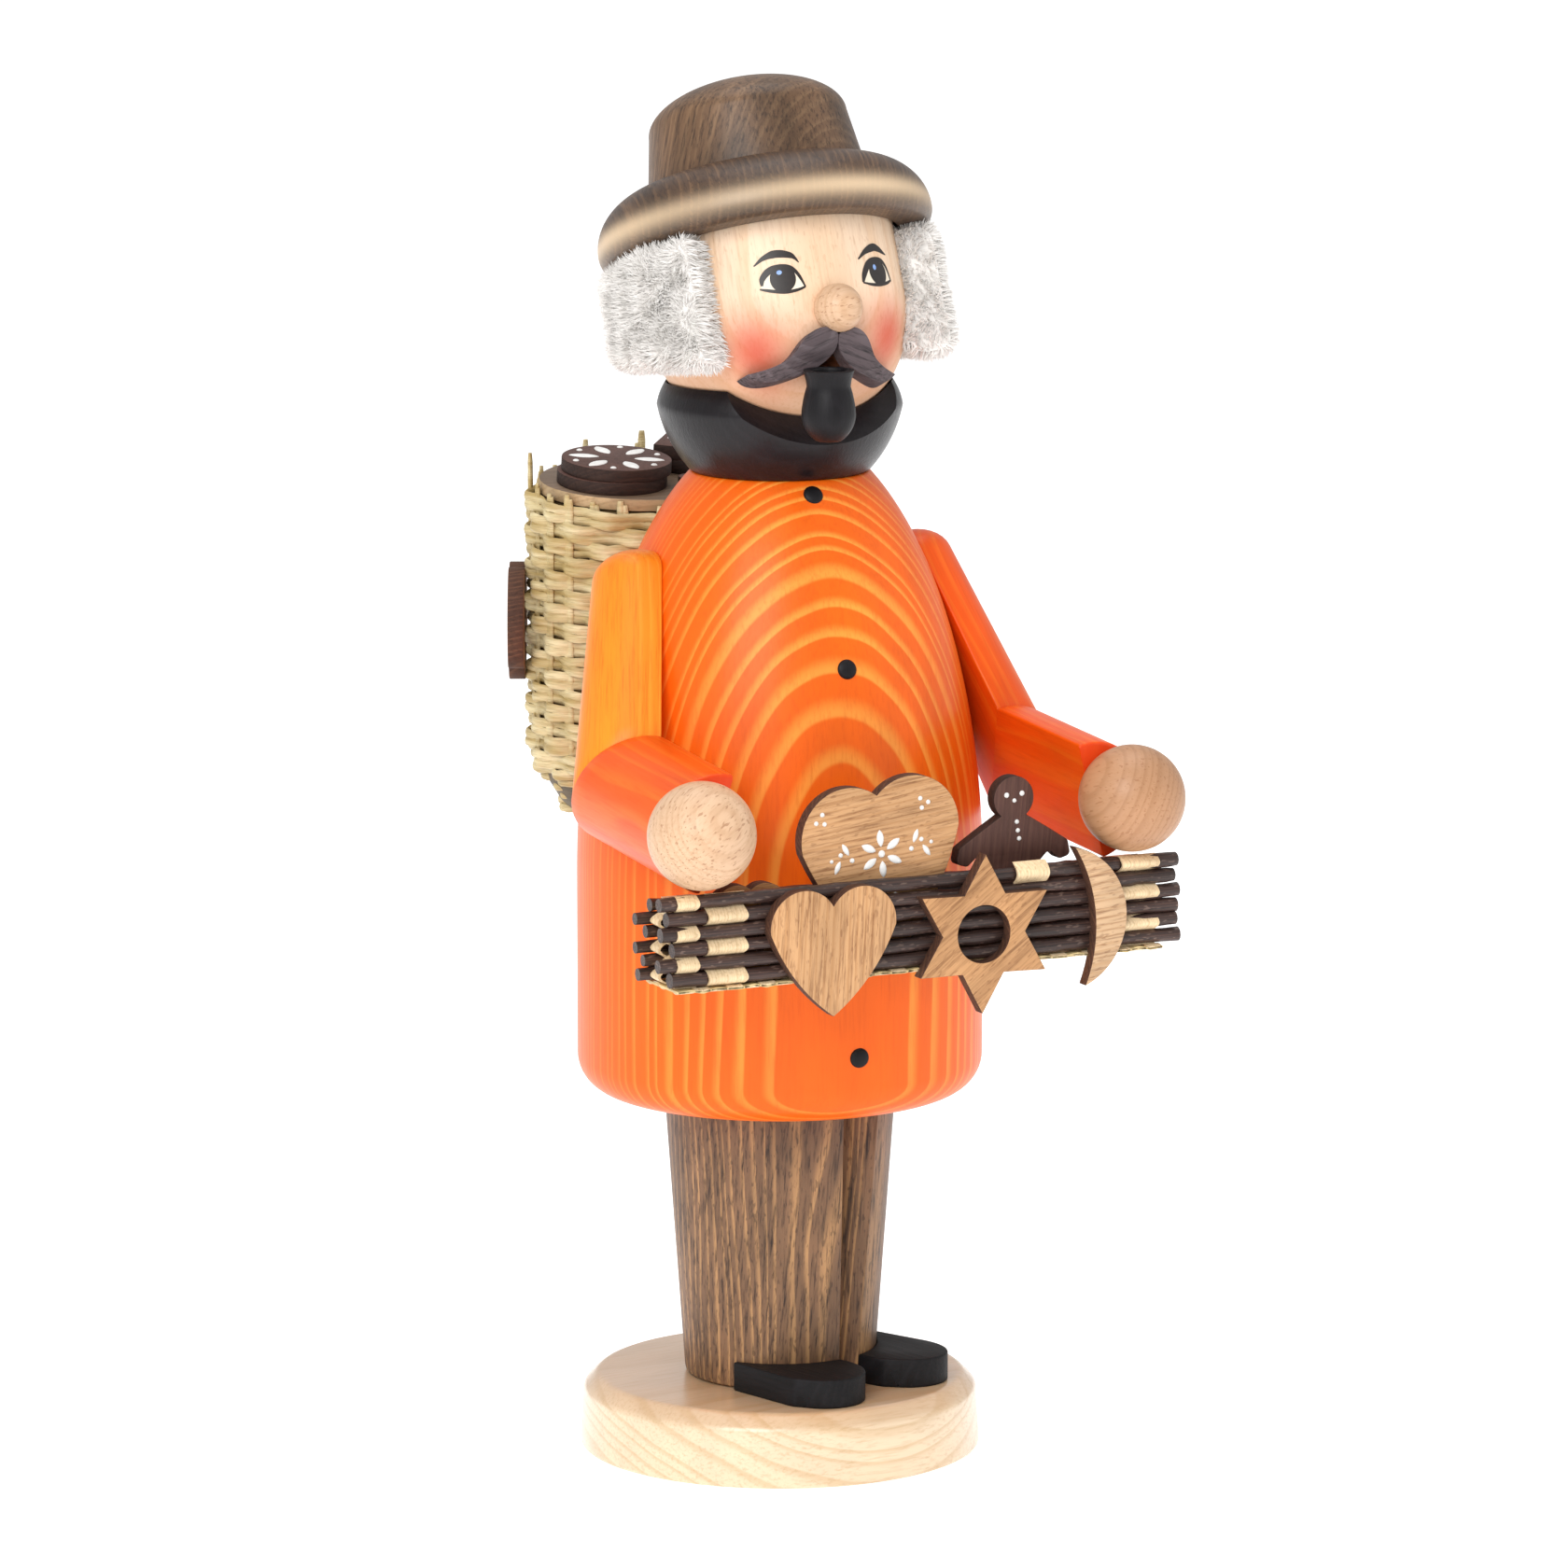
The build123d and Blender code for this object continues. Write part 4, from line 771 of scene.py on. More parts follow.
def dress_node(node, material):
    """Gives a piece that stays as the construction model has it a material."""
    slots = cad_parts[node].data.materials
    slots.clear()
    slots.append(material)


dress_node("neck_dowel", bare_lime)

# %% [markdown]
# ## Nose and hands
# These are stock beech balls, left bare. Beech is known by its short dark rays, which show as fine flecks
# along the grain. Each ball lies another way round, so each one gets its own pith and its own grain.

# %% Beech balls
def beech(name, pith, along, seed, early="#D9B492", late="#C69C78"):
    return wood(name, early, late, pith=pith, along=along, ring=1.1, waver=2.0, contrast=0.45,
                streak="#A87850", streaks=0.35, fleck="#9A6844", flecks=0.6, mottle=0.08, rough=0.42,
                gloss=0.12, relief=0.12, seed=seed)


def ball(name, middle, radius):
    profile = [(0, -radius)] + arc((0, 0), radius, radius, -90, 90, 48)[1:-1] + [(0, radius)]
    return turned(name, profile, place=Matrix.Translation(middle), segments=96)


nose_middle = head_place @ Vector((0, -(HEAD_RADIUS - 2.8 + 3.3), -2.7))
finish(ball("nose", nose_middle, 3.3), "figure", "natural_beech",
       beech("beech_of_the_nose", (0, 40, 150), (1, 0.2, 0.1), 21.0, "#D6B190", "#C59A74"), node="nose")
# Painted shade: the left hand, on the side away from the key panel, gets a darker beech than the right hand.
for side, sign, along, early, late in (("right", -1, (0.8, 0.3, 0.5), "#D9B492", "#C69C78"),
                                       ("left", 1, (0.2, -1, 0.35), "#B88A66", "#A0724E")):
    low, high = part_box(side + "_hand")
    middle = (low + high) / 2 / MM
    pith = middle + Vector((sign * 25.0, 55.0, -38.0))
    finish(ball(side + "_hand", middle, 7.2), "figure", "natural_beech",
           beech("beech_of_the_" + side + "_hand", tuple(pith), along, 30.0 + sign, early, late),
           node=side + "_hand")

# %% [markdown]
# ## Collar
# The collar is a turned bowl that the chin sits in, cut down at the front with one slanting saw cut. The
# solid bowl is made on the lathe, then the head's own form, grown by the room that it needs, and the saw
# cut are taken out of it.

# %% Collar
collar_profile = [(0, 135.5), (12.15, 135.5)]
collar_profile += curve_through((12.15, 135.5), (15.2, 140.0), (16.7, 144.5), 14)[1:]
collar_profile += curve_through((16.7, 144.5), (16.2, 146.25), (15.2, 148.0), 8)[1:] + [(0, 148.0)]
collar = turned("collar", softened(collar_profile, 0.5))
cut_away(collar, turned("chin_room", head_profile(0.3), place=head_place, segments=128))
saw = Matrix.Translation((0, -14.6, 141.75)) @ Matrix.Rotation(radians(-42), 4, "X")
corners = [(x, y, z) for x in (-36, 36) for y in (-24, 0) for z in (-36, 36)]
box_faces = [(0, 1, 3, 2), (4, 6, 7, 5), (0, 4, 5, 1), (2, 3, 7, 6), (0, 2, 6, 4), (1, 5, 7, 3)]
cut_away(collar, new_object("saw_cut", [saw @ Vector(c) for c in corners], box_faces))
finish(collar, "figure", "black_paint", collar_paint, node="collar")

# %% [markdown]
# ## Pipe
# The pipe is one small turned piece, hollow at the top. A short peg behind its rim holds it below the
# mouth.

# %% Pipe
pipe_place = Matrix.Translation((-3.4, -21.8, 142.2))
bowl = curve_through((1.6, 0), (3.3, 2.0), (3.65, 3.55), 8)
bowl += curve_through((3.65, 3.55), (3.4, 5.6), (2.95, 7.3), 6)[1:]
bowl += curve_through((2.95, 7.3), (3.1, 8.4), (3.5, 9.6), 6)[1:]
bowl += [(2.3, 9.6), (2.3, 6.6), (0, 6.6)]
pipe = turned("pipe", softened([(0, 0)] + bowl, 0.3), place=pipe_place, segments=96)
peg = turned("pipe_peg", [(0, 2.6), (0.8, 2.6), (0.8, 10.0), (0, 10.0)], segments=24,
             place=Matrix.Translation((-2.2, -21.8, 149.3)) @ Matrix.Rotation(radians(-90), 4, "X"))
with bpy.context.temp_override(active_object=pipe, selected_editable_objects=[pipe, peg]):
    bpy.ops.object.join()
finish(pipe, "figure", "black_paint", turned_paint, node="pipe")

# %% [markdown]
# ## Moustache
# The two wings are sawn from thin board and carved to the cheeks. The construction model already has
# their curve, so a copy of it gets broken edges, and a stain with coarse fibres that run down each wing.

# %% Moustache
for side, sign in (("right", -1), ("left", 1)):
    fibres = wood("charcoal_stained_wing_" + side, "#574B4E", "#776C6F", pith=(sign * 5, 30, 150),
                  along=(sign * 1.0, 0.2, -0.42), ring=0.6, waver=1.5, contrast=0.35, streak="#1D181A",
                  streaks=1.0, mottle=0.35, rough=0.62, relief=0.6, seed=40.0 + sign)
    finish(copied("moustache_" + side, "moustache_" + side, edge=0.3), "figure", "charcoal_stain", fibres,
           node="moustache_" + side)

# %% [markdown]
# ## Hat
# The brim and the crown are turned apart and stained brown. Along the widest line of the brim the stain is
# worn through where hands and cloth reach, and the same pale band is also a painted highlight on the rounded
# rim. A mask on the mesh, worked out from the distance to that line, lets the paler wood show there.

# %% Hat
brim_profile = [(0, 12.0), (17.25, 12.0), (17.8, 11.1), (17.8, 10.2), (21.0, 10.2)]
brim_profile += arc((21.0, 12.6), 1.9, 2.4, -90, 0, 10)[1:]
brim_profile += arc((14.9, 12.6), 8.0, 7.3, 0, 90, 40)[1:] + [(0, 19.9)]
hat_brim = turned("hat_brim", softened(brim_profile, 0.25), place=head_place, segments=256)
crown_profile = softened([(0, 19.9), (14.9, 19.9), (13.6, 27.6)], 0.4)
crown_profile += arc((0, 27.6), 13.6, 6.2, 0, 90, 30)[1:]
hat_crown = turned("hat_crown", crown_profile, place=head_place, segments=256)


def worn_and_highlit_edge(points):
    phi, t, radius = head_coordinates(points)
    near = np.exp(-((t - 13.1) ** 2) / 2 / 1.05**2) * (radius > 19)
    return near * (0.8 + 0.2 * np.sin(np.radians(phi * 3 + 40)))


# Pale band along the rim: worn stain and painted highlight.
paint_mask(hat_brim, "wear_and_painted_highlight", worn_and_highlit_edge)
hat_brim_stain = wood("brown_stained_brim", "#4C3626", "#6A4E36", pith=(60, -20, 170), along=(0.25, 1.0, 0.3),
                      ring=1.1, waver=5.0, contrast=0.7, streak="#30211A", streaks=1.0, flecks=0.6,
                      fleck="#3A281C", mottle=0.35, rough=0.42, gloss=0.12, relief=0.2, seed=51.0)
tint(hat_brim_stain, "wear_and_painted_highlight", "#F4D6B0", 0.68)
finish(hat_brim, "figure", "brown_stain", hat_brim_stain, node="hat_brim")
hat_crown_stain = wood("brown_stained_crown", "#6C5039", "#84664A", pith=(-50, 90, 170),
                       along=(0.2, 0.1, 1.0), ring=1.3, waver=8.0, contrast=0.6, streak="#33241A",
                       streaks=0.9, flecks=0.25, fleck="#3C2A1E", mottle=0.45, rough=0.44, gloss=0.12,
                       relief=0.2, seed=53.0)
finish(hat_crown, "figure", "brown_stain", hat_crown_stain, node="hat_crown")

# %% [markdown]
# ## Arms
# Each arm is half-round moulding, sawn at the elbow with a mitre and glued with its flat back against the
# coat. A section with rounded edges is skinned along the arm: it swells out of a dome at the shoulder and
# ends on the mitre plane, so that upper arm and forearm meet without a gap.

# %% Arms
SPREAD, LEAN, DROP = radians(15.6), radians(29), radians(4)
ARM_RADIUS, SHOULDER_RADIUS, UPPER_LENGTH, FORE_LENGTH, DOME = 8.25, 6.2, 28.8, 23.0, 4.5
SHOULDER_HEIGHT = 127.3
back_reach = sqrt((COAT_RADIUS * cos(SPREAD)) ** 2 + (SHOULDER_AXIS * sin(SPREAD)) ** 2)
shoulder_x = (back_reach - 1 - (SHOULDER_HEIGHT - SHOULDER_START) * sin(SPREAD)) / cos(SPREAD)
arm_place = Matrix(((0, -sin(SPREAD), cos(SPREAD), shoulder_x), (1, 0, 0, 0),
                    (0, cos(SPREAD), sin(SPREAD), SHOULDER_HEIGHT), (0, 0, 0, 1)))
mirrored = Matrix.Scale(-1, 4, (1, 0, 0))
upper_way, upper_side = Vector((-sin(LEAN), -cos(LEAN))), Vector((cos(LEAN), -sin(LEAN)))
fore_way, fore_side = Vector((-cos(DROP), -sin(DROP))), Vector((sin(DROP), -cos(DROP)))
shoulder_corner = Vector((-1.9, 0))
elbow_corner = shoulder_corner + upper_way * UPPER_LENGTH
mitre_way = upper_way + fore_way

# The back edge of the upper arm leans away from the front edge, so that the arm widens to the elbow.
elbow_reach = UPPER_LENGTH + 2 * ARM_RADIUS * tan((pi / 2 - DROP - LEAN) / 2)
half_taper = atan(2 * (ARM_RADIUS - SHOULDER_RADIUS) / elbow_reach) / 2
upper_axis = upper_way * cos(half_taper) + upper_side * sin(half_taper)
upper_across = upper_side * cos(half_taper) - upper_way * sin(half_taper)

half_round = softened([(0, 0), (1, 0)] + arc((0, 0), 1, 1, 0, 180, 36)[1:] + [(0, 0)], 0.1)[:-1]


def arm_loop(origin, way, side, radius, widening, reach, size=1.0):
    """The section at a distance along the arm. The distance may differ for each point of the section."""
    loop = []
    for across, out in half_round:
        length = reach(across * size)
        here = (radius + length * widening) * size
        spot = origin + way * length + side * across * here
        loop.append((spot.x, spot.y, out * here))
    return loop


def to_mitre(origin, way, side, radius, widening):
    """Distance along the arm at which a point of the section meets the mitre plane."""
    return lambda across: (((elbow_corner - origin) @ mitre_way - across * radius * (side @ mitre_way))
                           / (way @ mitre_way + across * widening * (side @ mitre_way)))


upper = (shoulder_corner + upper_across * SHOULDER_RADIUS, upper_axis, upper_across, SHOULDER_RADIUS,
         tan(half_taper))
upper_end = to_mitre(*upper)
upper_loops = [arm_loop(*upper, lambda a, u=DOME * (1 - cos(w)): u, sin(w))
               for w in np.linspace(0.12, pi / 2, 10)]
for share in np.linspace(0.1, 0.985, 14):
    upper_loops.append(arm_loop(*upper, lambda a, s=share: DOME + (upper_end(a) - DOME) * s))
upper_loops.append(arm_loop(*upper, upper_end, 0.982))

fore = (elbow_corner + fore_side * ARM_RADIUS, fore_way, fore_side, ARM_RADIUS, 0.0)
fore_start = to_mitre(*fore)
fore_loops = [arm_loop(*fore, fore_start, 0.982)]
for share in np.linspace(0.02, 0.98, 14):
    fore_loops.append(arm_loop(*fore, lambda a, s=share: fore_start(a) + (FORE_LENGTH - fore_start(a)) * s))
for back, size in ((0.22, 0.992), (0.08, 0.975), (0, 0.945)):
    fore_loops.append(arm_loop(*fore, lambda a, b=back: FORE_LENGTH - b, size))

for side, place, seed in (("right", mirrored @ arm_place, 61.0), ("left", arm_place, 67.0)):
    turn = place.to_3x3()
    middle = place @ Vector((elbow_corner.x, elbow_corner.y, 0))

    def sawn_end(points, back=np.array(place.inverted())):
        """The saw cut at the wrist drinks more glaze and goes redder."""
        local = points @ back[:3, :3].T + back[:3, 3]
        along = (local[:, :2] - np.array(elbow_corner + fore_side * ARM_RADIUS)) @ np.array(fore_way)
        return (along - FORE_LENGTH + 0.35) / 0.3

    for part, loops, way in (("upper_arm", upper_loops, upper_way), ("forearm", fore_loops, fore_way)):
        name = side + "_" + part
        along = turn @ Vector((way.x, way.y, 0))
        pith = middle + turn @ Vector((60.0, 30.0, -95.0))
        # Painted light: the right upper arm, which faces the key panel, gets a lighter glaze than the other
        # three arm pieces.
        early, late = ("#F98A1E", "#FFAA3C") if name == "right_upper_arm" else ("#E8560A", "#F27C20")
        stain = orange_glaze("orange_glazed_" + name, tuple(pith), tuple(along), early=early, late=late,
                             ring=1.6, waver=6.0, contrast=0.35, mottle=0.16, streaks=0.4,
                             seed=seed + len(part))
        arm = loft(name, loops, place=place)
        if part == "forearm":
            paint_mask(arm, "sawn_end", sawn_end)
            tint(stain, "sawn_end", "#DC3C10", 0.85)
        finish(arm, "figure", "orange_glaze", stain, node=name)

# %% [markdown]
# ## Sawn goods
# Hearts, star, moon, pretzel and gingerbread man are cut from two-millimetre plywood by laser. The faces
# show a veneer with upright grain, and the beam burns the cut edges dark brown. So each piece has two
# materials: faces that look along the board's own direction get veneer, all others get the burnt edge.

# %% Veneer and burnt edges
def two_sided(piece, normal, veneer, edge):
    """Gives the flat faces of a board its veneer and the cut faces the burnt edge."""
    piece.data.materials.append(veneer)
    piece.data.materials.append(edge)
    normal = Vector(normal).normalized()
    for face in piece.data.polygons:
        face.material_index = 0 if abs(face.normal @ normal) > 0.9 else 1


def veneer(name, early, late, seed, along):
    return wood(name, early, late, pith=(14, -70, 0), along=along, ring=0.9, waver=3.0, contrast=0.6,
                streak="#7A4E2C", streaks=0.75, fleck="#7A4C2A", flecks=0.4, mottle=0.2, rough=0.55,
                relief=0.15, seed=seed)


burnt_edge = wood("laser_burnt_edge", "#4E3123", "#66432F", pith=(0, 0, 40), along=(1, 0, 0), ring=0.7,
                  contrast=0.8, streak="#24150F", streaks=0.6, mottle=0.25, rough=0.7, relief=0.3, seed=5.0)
gingerbread_veneer = wood("dark_stained_veneer", "#563830", "#66463A", pith=(-20, -60, 0),
                          along=(0.1, 0, 1), ring=0.8, contrast=0.5, streak="#27160F", streaks=0.5,
                          mottle=0.25, rough=0.6, relief=0.2, seed=9.0)
gingerbread_edge = wood("dark_burnt_edge", "#2E1C15", "#3C271D", pith=(0, 0, 40), along=(1, 0, 0), ring=0.7,
                        contrast=0.7, streak="#1C100B", streaks=0.6, mottle=0.25, rough=0.7, relief=0.3,
                        seed=15.0)
for name, seed, early, late, along in (("small_heart", 71.0, "#CB9C6E", "#B58354", (0.06, 0, 1)),
                                       ("star", 72.0, "#C39263", "#A97A50", (0.8, 0, 0.6)),
                                       ("moon", 73.0, "#D2AE88", "#C0966C", (1, 0, 0.1)),
                                       ("large_heart", 74.0, "#CB9C6E", "#B58354", (1, 0, 0.12)),
                                       ("tray_pretzel", 75.0, "#A87445", "#8F6038", (1, 0, 0))):
    goods = copied(name, name, edge=0.12)
    two_sided(goods, (0, 1, 0), veneer("birch_veneer_of_" + name, early, late, seed, along), burnt_edge)
    finish(goods, "figure", "light_plywood", node=name)
man = copied("gingerbread_man", "gingerbread_man", edge=0.12)
two_sided(man, (0, 1, 0), gingerbread_veneer, gingerbread_edge)
finish(man, "figure", "gingerbread_stain", node="gingerbread_man")

# %% [markdown]
# ## Gingerbread on the basket
# The same plywood, stained darker, lies on the basket's lid, which leans a little towards the coat. The
# discs and lozenges face the way of the lid, the pretzel on the side faces outwards.

# %% Lid, discs, lozenges and side pretzel
LID_LEAN = radians(6)
lid_way = (0, -sin(LID_LEAN), cos(LID_LEAN))
for name in ("gingerbread_disc_lower", "gingerbread_disc_upper", "gingerbread_diamonds",
             "gingerbread_biscuit"):
    goods = copied(name, name, edge=0.12)
    two_sided(goods, lid_way, gingerbread_veneer, gingerbread_edge)
    finish(goods, "figure", "gingerbread_stain", node=name)
board = copied("basket_board", "basket_board", edge=0.12)
board_face = wood("grey_brown_board", "#7A6450", "#675240", pith=(-20, -60, 0), along=(1, 0, 0), contrast=0.5,
                  seed=17.0)
board_edge = wood("pale_sawn_edge", "#B79B75", "#A3865F", pith=(0, 0, 40), along=(1, 0, 0), contrast=0.6,
                  seed=18.0)
two_sided(board, lid_way, board_face, board_edge)
finish(board, "figure", "light_plywood", node="basket_board")
PRETZEL_TURN = radians(154)
goods = copied("basket_pretzel", "basket_pretzel", edge=0.15)
two_sided(goods, (cos(PRETZEL_TURN), sin(PRETZEL_TURN), 0),
          veneer("stained_veneer_of_basket_pretzel", "#9C7860", "#84624A", 76.0, (0, 0, 1)), burnt_edge)
finish(goods, "figure", "gingerbread_stain", node="basket_pretzel")

# %% [markdown]
# ## Icing
# The icing is thick white paint from a small nozzle, so it stands a little proud of the wood and has soft
# edges. Two forms are enough, a round drop and a leaf, and Geometry Nodes sets them in rings and rows.

# %% Icing
def clouded(name, hex_colour, second, rough, scale, detail=2.0, spread=(0, 1)):
    """Paint or pile whose colour wanders between two tones. The scale counts clouds in a metre."""
    material, tree, shader, place = new_material(name)
    clouds = add(tree, "ShaderNodeTexNoise", {"Vector": place, "Scale": scale, "Detail": detail})
    share = add(tree, "ShaderNodeMapRange", {"Value": clouds, "From Min": spread[0], "From Max": spread[1]})
    colour = add(tree, "ShaderNodeMix", {"Factor": share, "A": linear(hex_colour), "B": linear(second)},
                 data_type="RGBA")
    tree.links.new(colour.outputs["Result"], shader["Base Color"])
    shader["Roughness"].default_value = rough
    return material


icing = clouded("white_icing_paint", "#F4F4F2", "#D5D2CE", 0.45, 900.0)
drop_profile = [(0, -0.15), (1, -0.15), (1, 0.0), (0.9, 0.10), (0.6, 0.18), (0, 0.22)]
drop = turned("icing_drop", drop_profile, segments=12)
leaf_loops = []
for size, height in ((1, -0.15), (1, 0.0), (0.88, 0.10), (0.55, 0.18)):
    leaf_loops.append([(size * cos(a), size * sin(a) * abs(sin(a)) ** 0.6, height)
                       for a in np.linspace(0, 2 * pi, 16, endpoint=False)])
leaf = loft("icing_leaf", leaf_loops + [[(0, 0, 0.22)]])


def iced(name, pattern, marks, origin, across, up, body="figure"):
    """Sets icing marks (x, y, turn in degrees, length, width) on a face given by its origin and two ways."""
    across, up = Vector(across).normalized(), Vector(up).normalized()
    out = across.cross(up)
    spots = []
    for x, y, turn, length, width in marks:
        spot = Vector(origin) + across * x + up * y
        side = across * cos(radians(turn)) + up * sin(radians(turn))
        spots.append((tuple(spot), tuple(out), tuple(side), (length / 2, width / 2, 1)))
    piece = placed_copies(name, pattern, spots, icing)
    tidy_mesh(piece, 60)
    finish(piece, body, "gingerbread_stain")


man_low, man_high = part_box("gingerbread_man")
man_x, man_face, man_foot = (man_low.x + man_high.x) / 2 / MM, man_low.y / MM, man_low.z / MM
iced("gingerbread_man_icing", drop,
     [(x, y, 0, d, d) for x, y, d in ((-1.1, 20.6, 0.75), (1.2, 20.7, 0.75), (0.05, 19.8, 0.6),
                                      (0.45, 16.9, 0.65), (0.6, 15.7, 0.65), (0.8, 14.6, 0.65))],
     (man_x, man_face, man_foot), (1, 0, 0), (0, 0, 1))

heart_low, heart_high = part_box("large_heart")
heart_middle = (heart_low + heart_high) / 2 / MM
heart_middle.y = heart_low.y / MM
HEART_TURN = radians(6)
heart_ways = ((cos(HEART_TURN), 0, sin(HEART_TURN)), (-sin(HEART_TURN), 0, cos(HEART_TURN)))
FLOWER = (0.4, 2.2)
heart_drops = [(x, y, 0, 0.65, 0.65) for x, y in ((-7.7, 9.0), (-8.7, 8.0), (-7.5, 7.7),
                                                  (6.8, 8.6), (7.9, 7.9), (6.9, 7.3))]
heart_drops += [(*FLOWER, 0, 1.0, 1.0)]
heart_drops += [(FLOWER[0] + sign * x, FLOWER[1] + y, 0, d, d)
                for sign in (-1, 1) for x, y, d in ((4.4, -0.1, 0.7), (6.0, 0.9, 0.65), (7.4, 0.3, 0.55))]
iced("large_heart_icing_drops", drop, heart_drops, heart_middle, *heart_ways)
heart_leaves = [(FLOWER[0] + 2.1 * cos(a), FLOWER[1] + 2.1 * sin(a), degrees(a), 2.3, 1.05)
                for a in np.linspace(0.52, 0.52 + 2 * pi, 6, endpoint=False)]
heart_leaves += [(FLOWER[0] + sign * x, FLOWER[1] + y, sign * turn, 1.9, 0.75)
                 for sign in (-1, 1) for x, y, turn in ((5.2, 1.5, 65), (6.6, -0.7, -60))]
heart_leaves += [(1.8, -4.6, 90, 2.7, 2.0)]
iced("large_heart_icing_leaves", leaf, heart_leaves, heart_middle, *heart_ways)


def lid_point(node):
    """Middle of the upper face of a piece that lies on the lid."""
    points = np.array([v.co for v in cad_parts[node].data.vertices]) / MM
    height = points @ np.array(lid_way)
    top = points[height > height.max() - 0.02]
    return Vector((top.min(0) + top.max(0)) / 2)


lid_up = (0, cos(LID_LEAN), sin(LID_LEAN))
disc_top = lid_point("gingerbread_disc_upper")
disc_angles = np.radians(31 + 60 * np.arange(6))
iced("disc_icing_leaves", leaf, [(4.6 * cos(a), 4.6 * sin(a), degrees(a), 4.3, 1.9) for a in disc_angles],
     disc_top, (1, 0, 0), lid_up)
iced("disc_icing_drops", drop, [(6.3 * cos(a), 6.3 * sin(a), 0, 0.9, 0.9) for a in disc_angles + pi / 6],
     disc_top, (1, 0, 0), lid_up)
lozenge_top = lid_point("gingerbread_diamonds")
iced("lozenge_icing", leaf, [(2.3 * cos(a), 2.3 * sin(a), degrees(a), 2.6, 1.0)
                             for a in np.radians((6, 96, 186, 276))]
     + [(3.0 * cos(a), 3.0 * sin(a), degrees(a), 1.2, 0.7) for a in np.radians((51, 141, 231, 321))],
     lozenge_top, (1, 0, 0), lid_up)
for pattern in (drop, leaf):
    bpy.data.objects.remove(pattern)

# %% [markdown]
# ## Painted eyes
# The eyes and brows are brushed on the bare wood. Each stroke is a thin closed film that follows the head:
# its outline is given as (phi, t), and the film is raised a few hundredths of a millimetre. So the paint
# has a clean edge from near by, and nothing is painted by an image.

# %% Face paint
BRISTLES = 1500.0           # streaks of the brush in a metre


def film(name, rows, lift, depth=0.08):
    """A thin closed film over rows of (phi, t) points, all rows with the same number of points."""
    count = len(rows[0])
    outer = [on_head(phi, t, lift) for row in rows for phi, t in row]
    inner = [on_head(phi, t, -depth) for row in rows for phi, t in row]
    n = len(outer)
    faces = []
    for r in range(len(rows) - 1):
        for k in range(count - 1):
            a = r * count + k
            faces.append((a, a + 1, a + 1 + count, a + count))
            faces.append((n + a, n + a + count, n + a + 1 + count, n + a + 1))
    rim = [k for k in range(count)] + [r * count + count - 1 for r in range(1, len(rows))]
    rim += [(len(rows) - 1) * count + k for k in range(count - 2, -1, -1)]
    rim += [r * count for r in range(len(rows) - 2, 0, -1)]
    for a, b in zip(rim, rim[1:] + rim[:1]):
        faces.append((a, b, n + b, n + a))
    return new_object(name, outer + inner, faces)


def smooth_line(points, steps):
    """Evenly spaced points on a smooth line through a few given ones."""
    points = np.array(points, float)
    ahead = np.vstack([2 * points[0] - points[1], points, 2 * points[-1] - points[-2]])
    line = []
    for s in np.linspace(0, len(points) - 1 - 1e-6, steps):
        k, u = int(s), s - int(s)
        a, b, c, d = ahead[k:k + 4]
        line.append(0.5 * ((2 * b) + (c - a) * u + (2 * a - 5 * b + 4 * c - d) * u**2
                           + (3 * b - a - 3 * c + d) * u**3))
    return line


def stroke(name, points, widths, lift):
    """A brush stroke along (phi, t) points, with its width in millimetres at each of them."""
    steps = 10 * len(points)
    line = smooth_line(points, steps)
    thick = np.interp(np.linspace(0, 1, steps), np.linspace(0, 1, len(widths)), widths)
    degree = pi / 180 * HEAD_RADIUS
    rows = []
    for k, (phi, t) in enumerate(line):
        before, after = line[max(0, k - 1)], line[min(steps - 1, k + 1)]
        way = Vector(((after[0] - before[0]) * degree, after[1] - before[1])).normalized()
        rows.append([(phi - way.y * w * thick[k] / degree, t + way.x * w * thick[k])
                     for w in np.linspace(-0.5, 0.5, 5)])
    return film(name, rows, lift)


def patch(name, top, bottom, lift):
    """A filled shape between an upper and a lower line of (phi, t) points."""
    rows = []
    for a, b in zip(smooth_line(top, 30), smooth_line(bottom, 30)):
        rows.append([tuple(np.array(a) * (1 - s) + np.array(b) * s) for s in np.linspace(0, 1, 10)])
    return film(name, rows, lift)


def spot(name, phi, t, wide, high, lift):
    """A round dab of paint."""
    degree = pi / 180 * HEAD_RADIUS
    angles = np.linspace(pi, 0, 24)
    top = [(phi + wide * cos(a) / degree, t + high * sin(a)) for a in angles]
    bottom = [(phi + wide * cos(a) / degree, t - high * sin(a)) for a in angles]
    rows = [[tuple(np.array(a) * (1 - s) + np.array(b) * s) for s in np.linspace(0, 1, 8)]
            for a, b in zip(top, bottom)]
    return film(name, rows, lift)


brushed_black = clouded("brushed_black_paint", "#16110F", "#2A201C", 0.4, BRISTLES)
brushed_blue = clouded("brushed_blue_white_paint", "#A9C4EE", "#5F8AD2", 0.35, BRISTLES)
eye_white = clouded("thin_white_wash", "#F7EBD8", "#EADBC2", 0.5, BRISTLES)

